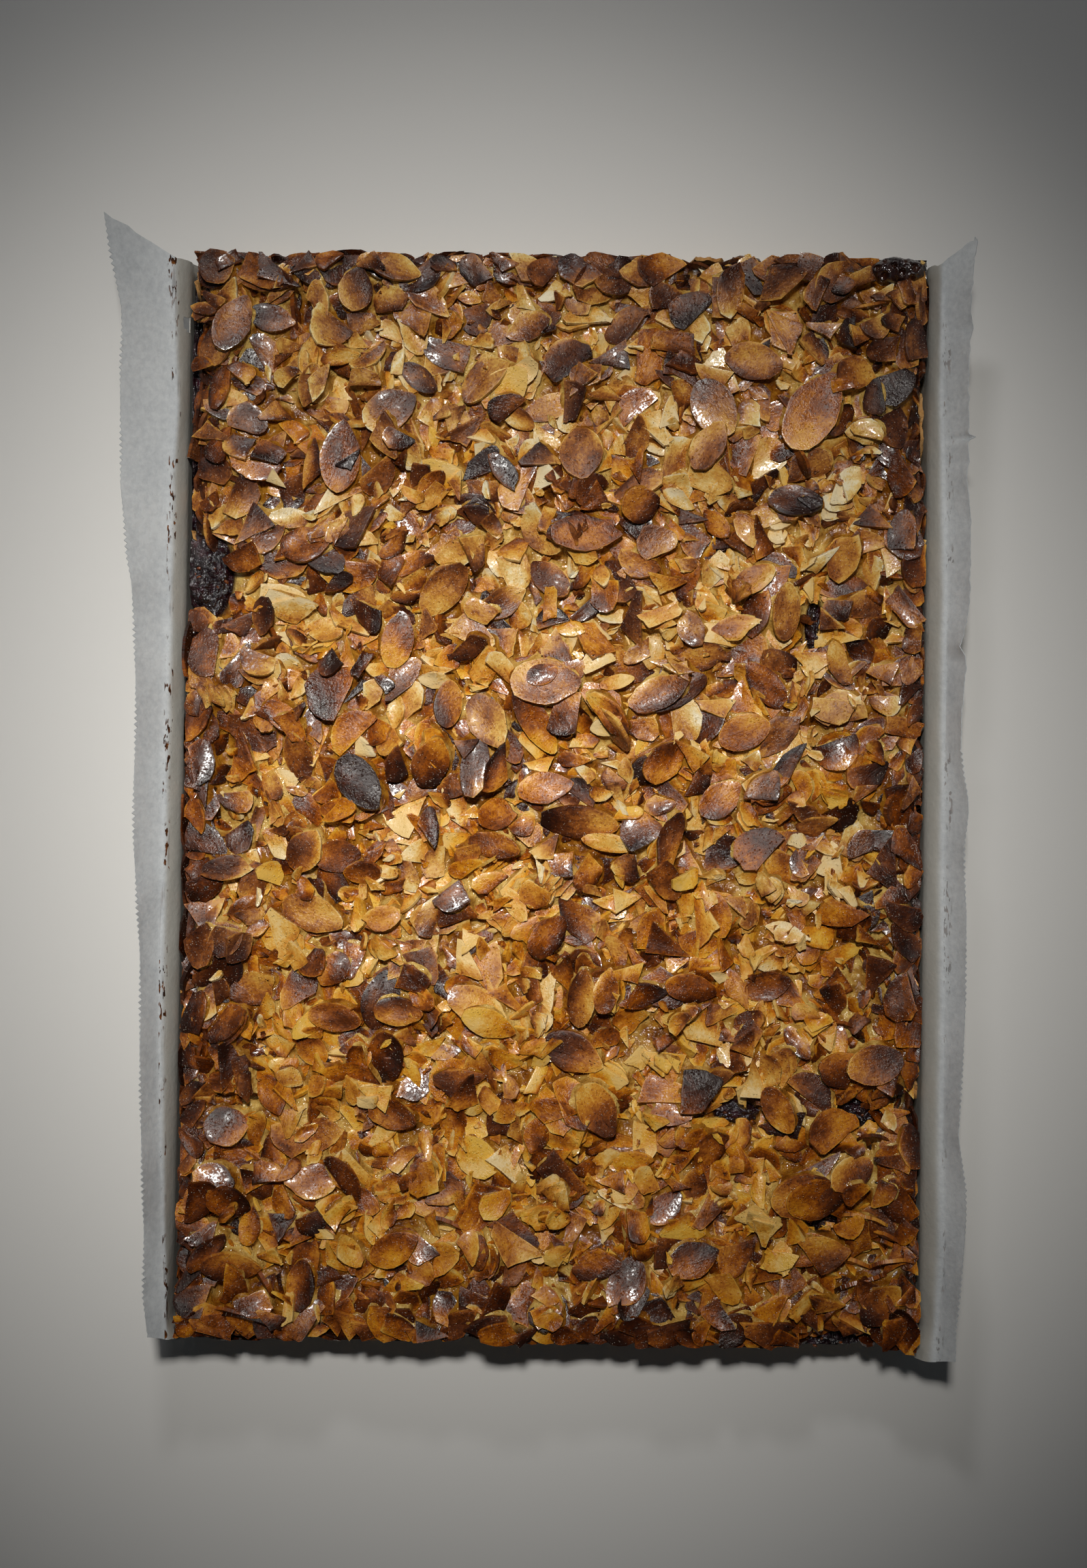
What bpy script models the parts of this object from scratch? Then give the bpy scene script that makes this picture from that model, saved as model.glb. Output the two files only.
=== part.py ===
"""Almond and raspberry slice, whole as it was baked in a 20 x 30 cm slice tin.

From the bottom: a strip of baking paper whose two long sides still stand up in the fold of the
tin, a shortbread base, a layer of raspberry jam and a caramel topping set full of flaked almonds.
Metres, +Z up. The origin is on the underside of the paper, below the middle of the slice.
"""

import math
import random

import bmesh
import bpy
from mathutils import Matrix, Vector, noise

SEED = 11

# Plan of the slice at its top edge. A baked slice is never quite square.
BACK_LEFT = Vector((-0.1002, 0.1479))
BACK_RIGHT = Vector((0.1005, 0.1501))
FRONT_RIGHT = Vector((0.1015, -0.1499))
FRONT_LEFT = Vector((-0.1018, -0.1481))
HALF_WIDTH = 0.101
HALF_LENGTH = 0.149
CORNER_RADIUS = 0.007

# Heights of the layers, and the clearance between two pieces.
CLEARANCE = 0.0003
MERGE = 0.000002
PAPER_THICKNESS = 0.0005
BASE_HEIGHT = 0.0095
JAM_HEIGHT = 0.003
TOPPING_HEIGHT = 0.0118
BASE_FLOOR = PAPER_THICKNESS + CLEARANCE
JAM_FLOOR = BASE_FLOOR + BASE_HEIGHT + CLEARANCE
TOPPING_FLOOR = JAM_FLOOR + JAM_HEIGHT + CLEARANCE
TOPPING_ROOF = TOPPING_FLOOR + TOPPING_HEIGHT

# The sides lean out with the wall of the tin, and the layers are uneven there.
TIN_FLARE = 0.0013
BASE_SIDE_UNEVEN = 0.0003
JAM_SIDE_UNEVEN = 0.0006
TOPPING_SIDE_UNEVEN = 0.0006
TOPPING_UNEVEN = 0.0016
TOPPING_EDGE_DROP = 0.0018
TOPPING_EDGE_ROUND = 0.008
TOPPING_CELLS = (18, 27)
LAYER_CELLS = (10, 15)

# Flaked almonds that show on the topping: length, width and thickness.
FLAKE_LENGTH = (0.0135, 0.0185)
FLAKE_WIDTH = (0.0085, 0.0108)
FLAKE_THICKNESS = 0.0013
FLAKE_SIDES = 8
FLAKE_ROWS = 15
FLAKE_COLUMNS = 10
FLAKE_TILT = math.radians(19)
FLAKE_RISE = (0.0003, 0.0009)
FLAKE_REACH = 0.004
FLAKE_MARGIN = 0.0088
FLAKE_JITTER = 0.3
EDGE_FLAKE_SPACING = 0.034
EDGE_FLAKE_TILT = math.radians(62)
EDGE_FLAKE_LENGTH = 0.0142
EDGE_FLAKE_WIDTH = 0.0084
EDGE_FLAKE_BLUNT = 0.3
EDGE_FLAKE_INSET = 0.0052
EDGE_FLAKE_RISE = 0.0012
EDGE_FLAKE_REACH = 0.0075

# Places where the topping is open and jam comes up through it: centre, half sizes and top of the
# jam, and how far the opening reaches past it towards the nearest side.
JAM_SPOTS = {
    "left_edge": ((-0.0932, 0.0580), (0.0068, 0.0098), 0.0205, (-0.0034, 0.0)),
    "front_edge": ((0.0775, -0.1458), (0.0095, 0.0034), 0.0195, (0.0, -0.0034)),
    "right_front": ((0.0852, -0.0853), (0.0066, 0.0036), 0.0225, (0.0, 0.0)),
    "middle_front": ((0.0512, -0.0855), (0.0060, 0.0028), 0.0225, (0.0, 0.0)),
    "right_corner": ((0.0752, -0.1143), (0.0046, 0.0032), 0.0220, (0.0, 0.0)),
    "right_back": ((0.0712, 0.0480), (0.0026, 0.0070), 0.0220, (0.0, 0.0)),
}
SPOT_SIDES = 14
SPOT_EASE = 0.0009
SPOT_ROOM = 0.0010

# Stretches of a side where the shortbread climbed the tin: centre along the side, width, top.
CRUST_LIPS = {
    "left": ((0.1410, 0.0090, 0.0235), (0.0715, 0.0040, 0.0215)),
    "right": ((0.1040, 0.0270, 0.0225), (-0.0790, 0.0080, 0.0225)),
    "back": ((0.0410, 0.0120, 0.0235),),
}
LIP_THICKNESS = 0.0022
LIP_STEPS = 5
LIP_ROOT = 0.6
LIP_WAVE = 0.0016
LIP_END_DROP = 0.0022
LIP_THINNING = 0.75
OPENING_HEADROOM = 0.02

# The paper: its wall keeps close to the slice and leans out to a crease above it, and a flange
# reaches past the crease. Each pair is a place along Y, from front to back, and a distance.
PAPER_FOLD_MARGIN = 0.0008
NARROWEST_FOLD = 0.1001
WALL_LEAN = 0.0003
WALL_BEND_HEIGHT = 0.0215
CREASE_HEIGHT = 0.0275
CREASE_UNEVEN = 0.0008
RIM_UNEVEN = 0.0008
RIM_CURL = 1.2
LEFT_CREASE = ((-0.149, -0.1036), (-0.120, -0.1050), (-0.060, -0.1064), (0.050, -0.1056),
               (0.104, -0.1042), (0.149, -0.1060))
RIGHT_CREASE = ((-0.149, 0.1058), (-0.123, 0.1074), (-0.060, 0.1068), (0.030, 0.1062),
                (0.114, 0.1043), (0.149, 0.1046))
LEFT_RIM = ((-0.149, -0.1072), (-0.125, -0.1089), (-0.060, -0.1106), (0.000, -0.1128),
            (0.050, -0.1134), (0.082, -0.1170), (0.130, -0.1171), (0.155, -0.1215))
RIGHT_RIM = ((-0.150, 0.1102), (-0.106, 0.1126), (-0.070, 0.1101), (-0.010, 0.1112),
             (0.022, 0.1095), (0.075, 0.1110), (0.152, 0.1118))
LEFT_RIM_HEIGHT = ((-0.149, 0.0325), (-0.060, 0.0335), (0.050, 0.0350), (0.130, 0.0375),
                   (0.155, 0.0420))
RIGHT_RIM_HEIGHT = ((-0.150, 0.0335), (0.000, 0.0335), (0.152, 0.0355))
# Where the strip ends at the front and the back: under the slice, at each crease and at each rim.
FRONT_ENDS = {"left_rim": -0.1465, "left_crease": -0.1490, "floor": -0.1525,
              "right_crease": -0.1520, "right_rim": -0.1500}
BACK_ENDS = {"left_rim": 0.1545, "left_crease": 0.1490, "floor": 0.1515,
             "right_crease": 0.1465, "right_rim": 0.1525}
PAPER_STATIONS = 25
WALL_STEPS = 3
RIM_STEPS = 2
FLOOR_STEPS = 4


def clear_scene():
    """Leave an empty scene to build in."""
    for obj in list(bpy.data.objects):
        bpy.data.objects.remove(obj)


def material(name, colour, roughness, coat=0.0):
    """A plain finish for one part."""
    finish = bpy.data.materials.new(name)
    finish.use_nodes = True
    shader = finish.node_tree.nodes["Principled BSDF"]
    shader.inputs["Base Color"].default_value = (*colour, 1.0)
    shader.inputs["Roughness"].default_value = roughness
    shader.inputs["Metallic"].default_value = 0.0
    shader.inputs["Coat Weight"].default_value = coat
    return finish


def object_from(bm, name, finish, collection=None):
    """Turn a bmesh into a named object with one material."""
    bmesh.ops.recalc_face_normals(bm, faces=bm.faces)
    mesh = bpy.data.meshes.new(name)
    bm.to_mesh(mesh)
    bm.free()
    mesh.materials.append(finish)
    obj = bpy.data.objects.new(name, mesh)
    (collection or bpy.context.scene.collection).objects.link(obj)
    return obj


def along(points, place):
    """Read a value between the named places of a line."""
    if place <= points[0][0]:
        return points[0][1]
    for (start, low), (end, high) in zip(points, points[1:]):
        if place <= end:
            share = (place - start) / (end - start)
            return low + (high - low) * (3 - 2 * share) * share * share
    return points[-1][1]


def plan(u, v, inset=0.0):
    """Point of the slice's plan, for u and v from -1 to 1, with round corners."""
    reach = Vector((HALF_WIDTH - inset, HALF_LENGTH - inset))
    place = Vector((abs(u) * reach.x, abs(v) * reach.y))
    corner = reach - Vector((CORNER_RADIUS, CORNER_RADIUS))
    past = place - corner
    if min(past) > 0 and past.length > CORNER_RADIUS:
        place = corner + past.normalized() * CORNER_RADIUS
    u = math.copysign(place.x / HALF_WIDTH, u)
    v = math.copysign(place.y / HALF_LENGTH, v)
    front = FRONT_LEFT.lerp(FRONT_RIGHT, (u + 1) / 2)
    back = BACK_LEFT.lerp(BACK_RIGHT, (u + 1) / 2)
    return front.lerp(back, (v + 1) / 2)


def uneven(place, size, seed):
    """Smooth unevenness from -1 to 1 whose lumps have about the given size."""
    return noise.noise(Vector((place[0] / size, place[1] / size, seed)))


def tin_inset(height):
    """How far the side stands in from the top edge at a height."""
    return TIN_FLARE * (1 - height / TOPPING_ROOF)


def topping_top(place):
    """Height of the caramel between the almonds."""
    side = min(HALF_WIDTH - abs(place[0]), HALF_LENGTH - abs(place[1]))
    drop = TOPPING_EDGE_DROP * max(0.0, 1 - side / TOPPING_EDGE_ROUND) ** 2
    waves = uneven(place, 0.023, 3.0) + 0.6 * uneven(place, 0.015, 8.0)
    return TOPPING_ROOF + TOPPING_UNEVEN * waves - drop


def rest_height(place):
    """Mean height of the caramel under a flake."""
    steps = ((0, 0), (FLAKE_REACH, 0), (-FLAKE_REACH, 0), (0, FLAKE_REACH), (0, -FLAKE_REACH))
    return sum(topping_top(place + Vector((*step, 0))) for step in steps) / len(steps)


def layer(name, finish, floor, roof, cells, side_uneven, rows, top=None):
    """One layer of the slice: a grid over the plan, extruded, with shaped sides.

    rows gives each level of the side, as its share of the height and its own inset."""
    bm = bmesh.new()
    bmesh.ops.create_grid(bm, x_segments=cells[0], y_segments=cells[1], size=1.0)
    lower = list(bm.faces)
    grown = bmesh.ops.extrude_face_region(bm, geom=lower)["geom"]
    upper_verts = [part for part in grown if isinstance(part, bmesh.types.BMVert)]
    bmesh.ops.translate(bm, vec=(0, 0, 1), verts=upper_verts)
    for share, _ in rows[1:-1]:
        bmesh.ops.bisect_plane(bm, geom=bm.verts[:] + bm.edges[:] + bm.faces[:],
                               plane_co=(0, 0, share), plane_no=(0, 0, 1))
    flat_levels = [0] if top else [0, 1]
    for level in flat_levels:
        flat = [face for face in bm.faces if all(abs(v.co.z - level) < 1e-6 for v in face.verts)]
        bmesh.ops.dissolve_faces(bm, faces=flat)
    insets = dict((round(share, 3), inset) for share, inset in rows)
    for vert in bm.verts:
        u, v, share = vert.co
        height = floor + (roof - floor) * share
        rim = max(abs(u), abs(v)) > 1 - 1e-6
        inset = 0.0
        if rim:
            lump = uneven(plan(u, v) + Vector((height, height)), 0.011, floor * 900)
            inset = tin_inset(height) + insets[round(share, 3)] + side_uneven * lump
        place = plan(u, v, inset)
        if top and share == 1:
            height = top(place)
        vert.co = (place.x, place.y, height)
    bmesh.ops.triangulate(bm, faces=bm.faces)
    return object_from(bm, name, finish)


def boolean(obj, collection, operation):
    """Join or cut an object with everything in a collection, and drop the collection."""
    modifier = obj.modifiers.new(operation.title(), "BOOLEAN")
    modifier.operation = operation
    modifier.operand_type = "COLLECTION"
    modifier.collection = collection
    modifier.solver = "EXACT"
    evaluated = obj.evaluated_get(bpy.context.evaluated_depsgraph_get())
    result = bpy.data.meshes.new_from_object(evaluated)
    obj.modifiers.clear()
    obj.data = result
    for part in list(collection.objects):
        bpy.data.objects.remove(part)
    bpy.data.collections.remove(collection)


def new_collection(name):
    """A collection for the parts of one Boolean."""
    collection = bpy.data.collections.new(name)
    bpy.context.scene.collection.children.link(collection)
    return collection


def post(name, finish, collection, centre, half, floor, roof, ease):
    """An upright oval column whose upper edge is rounded by ease."""
    bm = bmesh.new()
    bmesh.ops.create_cone(bm, cap_ends=True, segments=SPOT_SIDES, radius1=1, radius2=1, depth=1)
    bmesh.ops.scale(bm, vec=(half[0], half[1], roof - floor), verts=bm.verts)
    bmesh.ops.translate(bm, vec=(centre[0], centre[1], (roof + floor) / 2), verts=bm.verts)
    if ease:
        rim = [edge for edge in bm.edges if all(v.co.z > roof - 1e-6 for v in edge.verts)]
        bmesh.ops.bevel(bm, geom=rim, offset=ease, segments=2, affect="EDGES", profile=0.5,
                        material=-1)
    return object_from(bm, name, finish, collection)


def lip_block(name, finish, collection, side, centre, width, roof, grow):
    """A stretch of crust against one side. grow makes the clearance for it in other layers."""
    bm = bmesh.new()
    bmesh.ops.create_grid(bm, x_segments=LIP_STEPS, y_segments=1, size=1.0)
    grown = bmesh.ops.extrude_face_region(bm, geom=bm.faces[:])["geom"]
    bmesh.ops.translate(bm, vec=(0, 0, 1),
                        verts=[part for part in grown if isinstance(part, bmesh.types.BMVert)])
    floor = BASE_FLOOR + BASE_HEIGHT * LIP_ROOT
    outward = {"left": -1, "right": 1, "back": 1}[side]
    for vert in bm.verts:
        run = centre + vert.co.x * (width / 2 + grow)
        wave = LIP_WAVE * uneven((run, centre), 0.006, 21.0)
        wave -= LIP_END_DROP * abs(vert.co.x) ** 3
        height = floor + (roof + wave - floor) * vert.co.z
        outer = vert.co.y > 0
        if grow:
            height = floor + (TOPPING_ROOF + OPENING_HEADROOM - floor) * vert.co.z
        thickness = LIP_THICKNESS * (LIP_THINNING if vert.co.z > 0.5 and not grow else 1.0)
        inset = -4 * grow if outer else thickness + grow
        inset += tin_inset(floor if grow and not outer else min(height, TOPPING_ROOF))
        if side == "back":
            edge = plan(run / HALF_WIDTH, 1)
            place = (edge.x, edge.y - inset)
        else:
            edge = plan(outward, run / HALF_LENGTH)
            place = (edge.x - outward * inset, edge.y)
        vert.co = (*place, height)
    bmesh.ops.triangulate(bm, faces=bm.faces)
    return object_from(bm, name, finish, collection)


def lips(finish, collection, grow):
    """All the stretches of climbing crust, or the room that they need."""
    for side, stretches in CRUST_LIPS.items():
        for centre, width, roof in stretches:
            lip_block("lip", finish, collection, side, centre, width, roof, grow)


def flake(finish, collection, length, width, blunt, turn, tilt_way, tilt, place):
    """One almond flake: a thin eight-sided leaf, pointed at one end, laid on the caramel."""
    bm = bmesh.new()
    bmesh.ops.create_circle(bm, cap_ends=True, segments=FLAKE_SIDES, radius=1)
    for vert in bm.verts:
        taper = 1 - blunt * max(0.0, vert.co.x)
        vert.co = (vert.co.x * length / 2, vert.co.y * width / 2 * taper, -FLAKE_THICKNESS / 2)
    grown = bmesh.ops.extrude_face_region(bm, geom=bm.faces[:])["geom"]
    upper = [part for part in grown if isinstance(part, bmesh.types.BMVert)]
    bmesh.ops.translate(bm, vec=(0, 0, FLAKE_THICKNESS), verts=upper)
    lean = Matrix.Rotation(tilt, 4, Vector((math.cos(tilt_way), math.sin(tilt_way), 0)))
    pose = Matrix.Translation(place) @ lean @ Matrix.Rotation(turn, 4, "Z")
    bmesh.ops.transform(bm, matrix=pose, verts=bm.verts)
    return object_from(bm, "flake", finish, collection)


def clear_of_openings(place, reach):
    """Whether a flake stays off the open spots and off the climbing crust."""
    for centre, half, _, past in JAM_SPOTS.values():
        near = Vector((abs(place.x - centre[0]) - half[0] - abs(past[0]),
                       abs(place.y - centre[1]) - half[1] - abs(past[1])))
        if max(near) < reach + SPOT_ROOM:
            return False
    for side, stretches in CRUST_LIPS.items():
        for centre, width, _ in stretches:
            run, depth = (place.x, place.y) if side == "back" else (place.y, place.x)
            edge = HALF_LENGTH if side == "back" else HALF_WIDTH
            outward = -1 if side == "left" else 1
            close = edge - outward * depth < reach + LIP_THICKNESS + 2 * CLEARANCE
            if close and abs(run - centre) < width / 2 + reach:
                return False
    return True


def scatter_flakes(finish, collection):
    """Spread the flakes evenly over the topping, each a little off its place, and stand some
    of them on edge along the sides."""
    draw = random.Random(SEED)
    for row in range(FLAKE_ROWS):
        for column in range(FLAKE_COLUMNS):
            length = draw.uniform(*FLAKE_LENGTH)
            width = draw.uniform(*FLAKE_WIDTH)
            stagger = 0.5 * (row % 2) - 0.25
            u = column + 0.5 + stagger + draw.uniform(-FLAKE_JITTER, FLAKE_JITTER)
            v = row + 0.5 + draw.uniform(-FLAKE_JITTER, FLAKE_JITTER)
            x = (2 * u / FLAKE_COLUMNS - 1) * (HALF_WIDTH - FLAKE_MARGIN)
            y = (2 * v / FLAKE_ROWS - 1) * (HALF_LENGTH - FLAKE_MARGIN)
            turn = draw.uniform(0, 2 * math.pi)
            tilt_way = draw.uniform(0, 2 * math.pi)
            tilt = draw.uniform(0.5, 1) * FLAKE_TILT
            place = Vector((x, y, 0))
            place.z = rest_height(place) + draw.uniform(*FLAKE_RISE)
            if clear_of_openings(place, length / 2):
                flake(finish, collection, length, width, draw.uniform(0.1, 0.5), turn, tilt_way,
                      tilt, place)
    for side in (-1, 1):
        count = int(2 * HALF_LENGTH / EDGE_FLAKE_SPACING)
        for step in range(count):
            run = -HALF_LENGTH + (step + 0.5 + draw.uniform(-0.2, 0.2)) * EDGE_FLAKE_SPACING
            edge = plan(side, run / HALF_LENGTH)
            place = Vector((edge.x - side * EDGE_FLAKE_INSET, edge.y, 0))
            place.z = topping_top(place) + EDGE_FLAKE_RISE
            tilt = side * EDGE_FLAKE_TILT * draw.uniform(0.75, 1)
            turn = math.pi / 2 + draw.uniform(-0.25, 0.25)
            if clear_of_openings(place, EDGE_FLAKE_REACH):
                flake(finish, collection, EDGE_FLAKE_LENGTH, EDGE_FLAKE_WIDTH, EDGE_FLAKE_BLUNT,
                      turn, math.pi / 2, tilt, place)


def tidy(obj):
    """Merge the points that a Boolean left next to each other or in the middle of an edge."""
    bm = bmesh.new()
    bm.from_mesh(obj.data)
    bmesh.ops.remove_doubles(bm, verts=bm.verts, dist=MERGE)
    bmesh.ops.dissolve_degenerate(bm, edges=bm.edges, dist=MERGE)
    bmesh.ops.dissolve_verts(bm, verts=[vert for vert in bm.verts if len(vert.link_edges) == 2])
    bmesh.ops.triangulate(bm, faces=bm.faces)
    bm.to_mesh(obj.data)
    bm.free()


def make_base():
    """Shortbread slab with the stretches of crust that climb its sides."""
    finish = material("shortbread", (0.72, 0.47, 0.22), 0.8)
    rows = ((0.0, 0.0010), (0.14, 0.0001), (0.6, 0.0), (1.0, 0.0004))
    base = layer("base", finish, BASE_FLOOR, BASE_FLOOR + BASE_HEIGHT, LAYER_CELLS,
                 BASE_SIDE_UNEVEN, rows)
    blocks = new_collection("crust_lips")
    lips(finish, blocks, 0.0)
    boolean(base, blocks, "UNION")
    tidy(base)


def make_jam():
    """Jam layer, with the columns that come up through the topping's open spots."""
    finish = material("raspberry_jam", (0.075, 0.006, 0.012), 0.15, 0.6)
    rows = ((0.0, 0.0009), (0.5, 0.0002), (1.0, 0.0008))
    jam = layer("jam", finish, JAM_FLOOR, JAM_FLOOR + JAM_HEIGHT, LAYER_CELLS, JAM_SIDE_UNEVEN,
                rows)
    room = new_collection("room_for_lips")
    lips(finish, room, CLEARANCE * 1.5)
    boolean(jam, room, "DIFFERENCE")
    columns = new_collection("jam_spots")
    for centre, half, roof, _ in JAM_SPOTS.values():
        post("spot", finish, columns, centre, half, JAM_FLOOR + JAM_HEIGHT / 3, roof, SPOT_EASE)
    boolean(jam, columns, "UNION")
    tidy(jam)


def make_topping():
    """Caramel with its openings, and the almond flakes set in it."""
    finish = material("almond_topping", (0.47, 0.21, 0.065), 0.3, 0.4)
    rows = ((0.0, 0.0004), (0.35, 0.0), (0.8, 0.0003), (1.0, 0.0012))
    topping = layer("topping", finish, TOPPING_FLOOR, TOPPING_ROOF, TOPPING_CELLS,
                    TOPPING_SIDE_UNEVEN, rows, topping_top)
    openings = new_collection("openings")
    for centre, half, _, past in JAM_SPOTS.values():
        wide = tuple(size + SPOT_ROOM + abs(extra) / 2 for size, extra in zip(half, past))
        moved = tuple(at + extra / 2 for at, extra in zip(centre, past))
        post("opening", finish, openings, moved, wide, JAM_FLOOR,
             TOPPING_ROOF + OPENING_HEADROOM, 0)
    lips(finish, openings, CLEARANCE * 1.5)
    boolean(topping, openings, "DIFFERENCE")
    flakes = new_collection("flakes")
    scatter_flakes(finish, flakes)
    boolean(topping, flakes, "UNION")
    tidy(topping)


def paper_section(y):
    """Outer face of the paper across the strip at one place, as X and Z from left to right."""
    v = y / HALF_LENGTH
    section = []
    for side, crease, rim, rim_height in ((-1, LEFT_CREASE, LEFT_RIM, LEFT_RIM_HEIGHT),
                                          (1, RIGHT_CREASE, RIGHT_RIM, RIGHT_RIM_HEIGHT)):
        fold = plan(side, max(-1, min(1, v))).x
        fold = math.copysign(max(abs(fold), NARROWEST_FOLD), side)
        fold = fold + side * (PAPER_FOLD_MARGIN + PAPER_THICKNESS)
        crease_x = along(crease, y)
        crease_z = CREASE_HEIGHT + CREASE_UNEVEN * uneven((crease_x, y), 0.03, 4.0)
        rim_x = along(rim, y)
        rim_z = along(rim_height, y) + RIM_UNEVEN * uneven((rim_x, y), 0.017, 5.0)
        wall = [(fold, 0.0), (fold + side * WALL_LEAN / 2, WALL_BEND_HEIGHT / 2),
                (fold + side * WALL_LEAN, WALL_BEND_HEIGHT)]
        flange = []
        for step in range(RIM_STEPS + 1):
            share = step / RIM_STEPS
            flange.append((crease_x + (rim_x - crease_x) * share,
                           crease_z + (rim_z - crease_z) * share ** RIM_CURL))
        half = wall + flange
        section.append(half[::-1] if side < 0 else half)
    left, right = section
    floor = [(left[-1][0] + (right[0][0] - left[-1][0]) * step / FLOOR_STEPS, 0.0)
             for step in range(1, FLOOR_STEPS)]
    return left + floor + right


def make_paper():
    """Strip of baking paper, folded up both long sides, with its flanges bent outwards."""
    finish = material("baking_paper", (0.62, 0.62, 0.60), 0.65)
    columns = 2 * (WALL_STEPS + RIM_STEPS + 1) + FLOOR_STEPS - 1
    flange = RIM_STEPS
    wall = RIM_STEPS + WALL_STEPS
    knots = (("left_rim", 0), ("left_crease", flange), ("floor", wall),
             ("floor", columns - 1 - wall), ("right_crease", columns - 1 - flange),
             ("right_rim", columns - 1))
    bm = bmesh.new()
    bmesh.ops.create_grid(bm, x_segments=columns - 1, y_segments=PAPER_STATIONS, size=1.0)
    for vert in bm.verts:
        column = round((vert.co.x + 1) / 2 * (columns - 1))
        share = (vert.co.y + 1) / 2
        front = along([(at, FRONT_ENDS[name]) for name, at in knots], column)
        back = along([(at, BACK_ENDS[name]) for name, at in knots], column)
        y = front + (back - front) * share
        x, z = paper_section(y)[column]
        vert.co = (x, y, z)
    paper = object_from(bm, "paper", finish)
    underside = max(paper.data.polygons, key=lambda face: face.area)
    if underside.normal.z < 0:
        paper.data.flip_normals()
    solidify = paper.modifiers.new("Thickness", "SOLIDIFY")
    solidify.thickness = PAPER_THICKNESS
    solidify.offset = 1.0
    solidify.use_even_offset = False
    return paper


def main():
    clear_scene()
    make_paper()
    make_base()
    make_jam()
    make_topping()


main()
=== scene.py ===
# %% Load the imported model
import math
import random
from collections import namedtuple

import bmesh
import bpy
import numpy as np
from mathutils import Matrix, Vector, noise


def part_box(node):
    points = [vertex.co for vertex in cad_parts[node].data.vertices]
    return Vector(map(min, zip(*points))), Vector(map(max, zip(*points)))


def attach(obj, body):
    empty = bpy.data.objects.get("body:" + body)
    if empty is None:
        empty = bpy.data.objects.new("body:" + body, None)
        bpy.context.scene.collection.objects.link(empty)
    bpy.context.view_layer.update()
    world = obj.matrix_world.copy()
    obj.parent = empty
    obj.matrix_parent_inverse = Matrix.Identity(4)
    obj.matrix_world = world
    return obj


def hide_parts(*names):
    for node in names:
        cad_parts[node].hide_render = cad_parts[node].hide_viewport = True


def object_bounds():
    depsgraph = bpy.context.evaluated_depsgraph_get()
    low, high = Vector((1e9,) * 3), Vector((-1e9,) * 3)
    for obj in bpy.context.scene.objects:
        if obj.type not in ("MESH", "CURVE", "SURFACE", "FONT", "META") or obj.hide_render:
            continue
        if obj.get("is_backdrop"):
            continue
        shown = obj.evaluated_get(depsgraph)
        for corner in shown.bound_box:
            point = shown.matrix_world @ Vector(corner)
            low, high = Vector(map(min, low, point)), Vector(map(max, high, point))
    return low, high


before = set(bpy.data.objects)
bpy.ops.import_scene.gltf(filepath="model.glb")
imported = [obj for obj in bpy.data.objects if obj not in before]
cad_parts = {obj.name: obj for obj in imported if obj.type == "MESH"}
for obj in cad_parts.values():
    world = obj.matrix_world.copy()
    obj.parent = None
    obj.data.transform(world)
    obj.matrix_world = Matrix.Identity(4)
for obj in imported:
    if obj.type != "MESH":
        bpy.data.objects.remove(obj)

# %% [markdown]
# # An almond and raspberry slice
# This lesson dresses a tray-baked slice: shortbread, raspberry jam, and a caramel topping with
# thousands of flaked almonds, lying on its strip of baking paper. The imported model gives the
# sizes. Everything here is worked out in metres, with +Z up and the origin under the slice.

MM = 0.001
CAD_BOX = [[float(number) for number in corner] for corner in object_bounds()]
TOPPING_LOW, TOPPING_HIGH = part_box("topping")
JAM_LOW, JAM_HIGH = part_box("jam")
BASE_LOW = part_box("base")[0]
PAPER_LOW, PAPER_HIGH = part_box("paper")


def in_mm(numbers):
    """Lengths in millimetres, rounded for printing."""
    return [round(float(number) / MM, 1) for number in numbers]


def add_object(name, data):
    """Put a mesh, a light or a camera in the scene."""
    made = bpy.data.objects.new(name, data)
    bpy.context.scene.collection.objects.link(made)
    return made


print("box in mm", [in_mm(corner) for corner in CAD_BOX])

# %% [markdown]
# ## The camera
# The slice is seen from straight above. A 50 mm lens on a 36 mm frame, 0.62 m up, sees it as
# large as it should be in the picture, and a small roll matches the way that it lies. The same
# geometry read backwards tells where on the slice a point of the picture lies, so that the
# larger almonds can be put where they belong.

# %% Camera straight above the slice
PICTURE = (1596, 2303)
LENS = 50.0
SENSOR = 36.0
CAMERA_PLACE = Vector((-0.00275, 0.00404, 0.6193))
CAMERA_ROLL = math.radians(0.73)
ALMOND_LEVEL = 0.029


def make_camera():
    data = bpy.data.cameras.new("above")
    data.lens = LENS
    data.sensor_width = SENSOR
    data.clip_start = 0.01
    camera = add_object("above", data)
    camera.location = CAMERA_PLACE
    camera.rotation_euler = (0, 0, CAMERA_ROLL)
    bpy.context.scene.camera = camera


def seen(across, down):
    """Place on top of the slice of a point of the picture."""
    scale = (CAMERA_PLACE.z - ALMOND_LEVEL) * SENSOR / LENS / PICTURE[1]
    step = Vector(((across - PICTURE[0] / 2) * scale, (PICTURE[1] / 2 - down) * scale))
    step.rotate(Matrix.Rotation(CAMERA_ROLL, 2))
    return CAMERA_PLACE.x + step.x, CAMERA_PLACE.y + step.y


make_camera()
print("middle of the picture in mm", in_mm(seen(PICTURE[0] / 2, PICTURE[1] / 2)))

# %% [markdown]
# ## Shader maths that reads like maths
# A material is a tree of nodes. Written out node by node it is long and hard to follow, so one
# small class wraps an output socket and lets `+`, `*` and the rest add the Math nodes. Colours go
# through Mix nodes, because a Math node would turn them grey.

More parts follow.
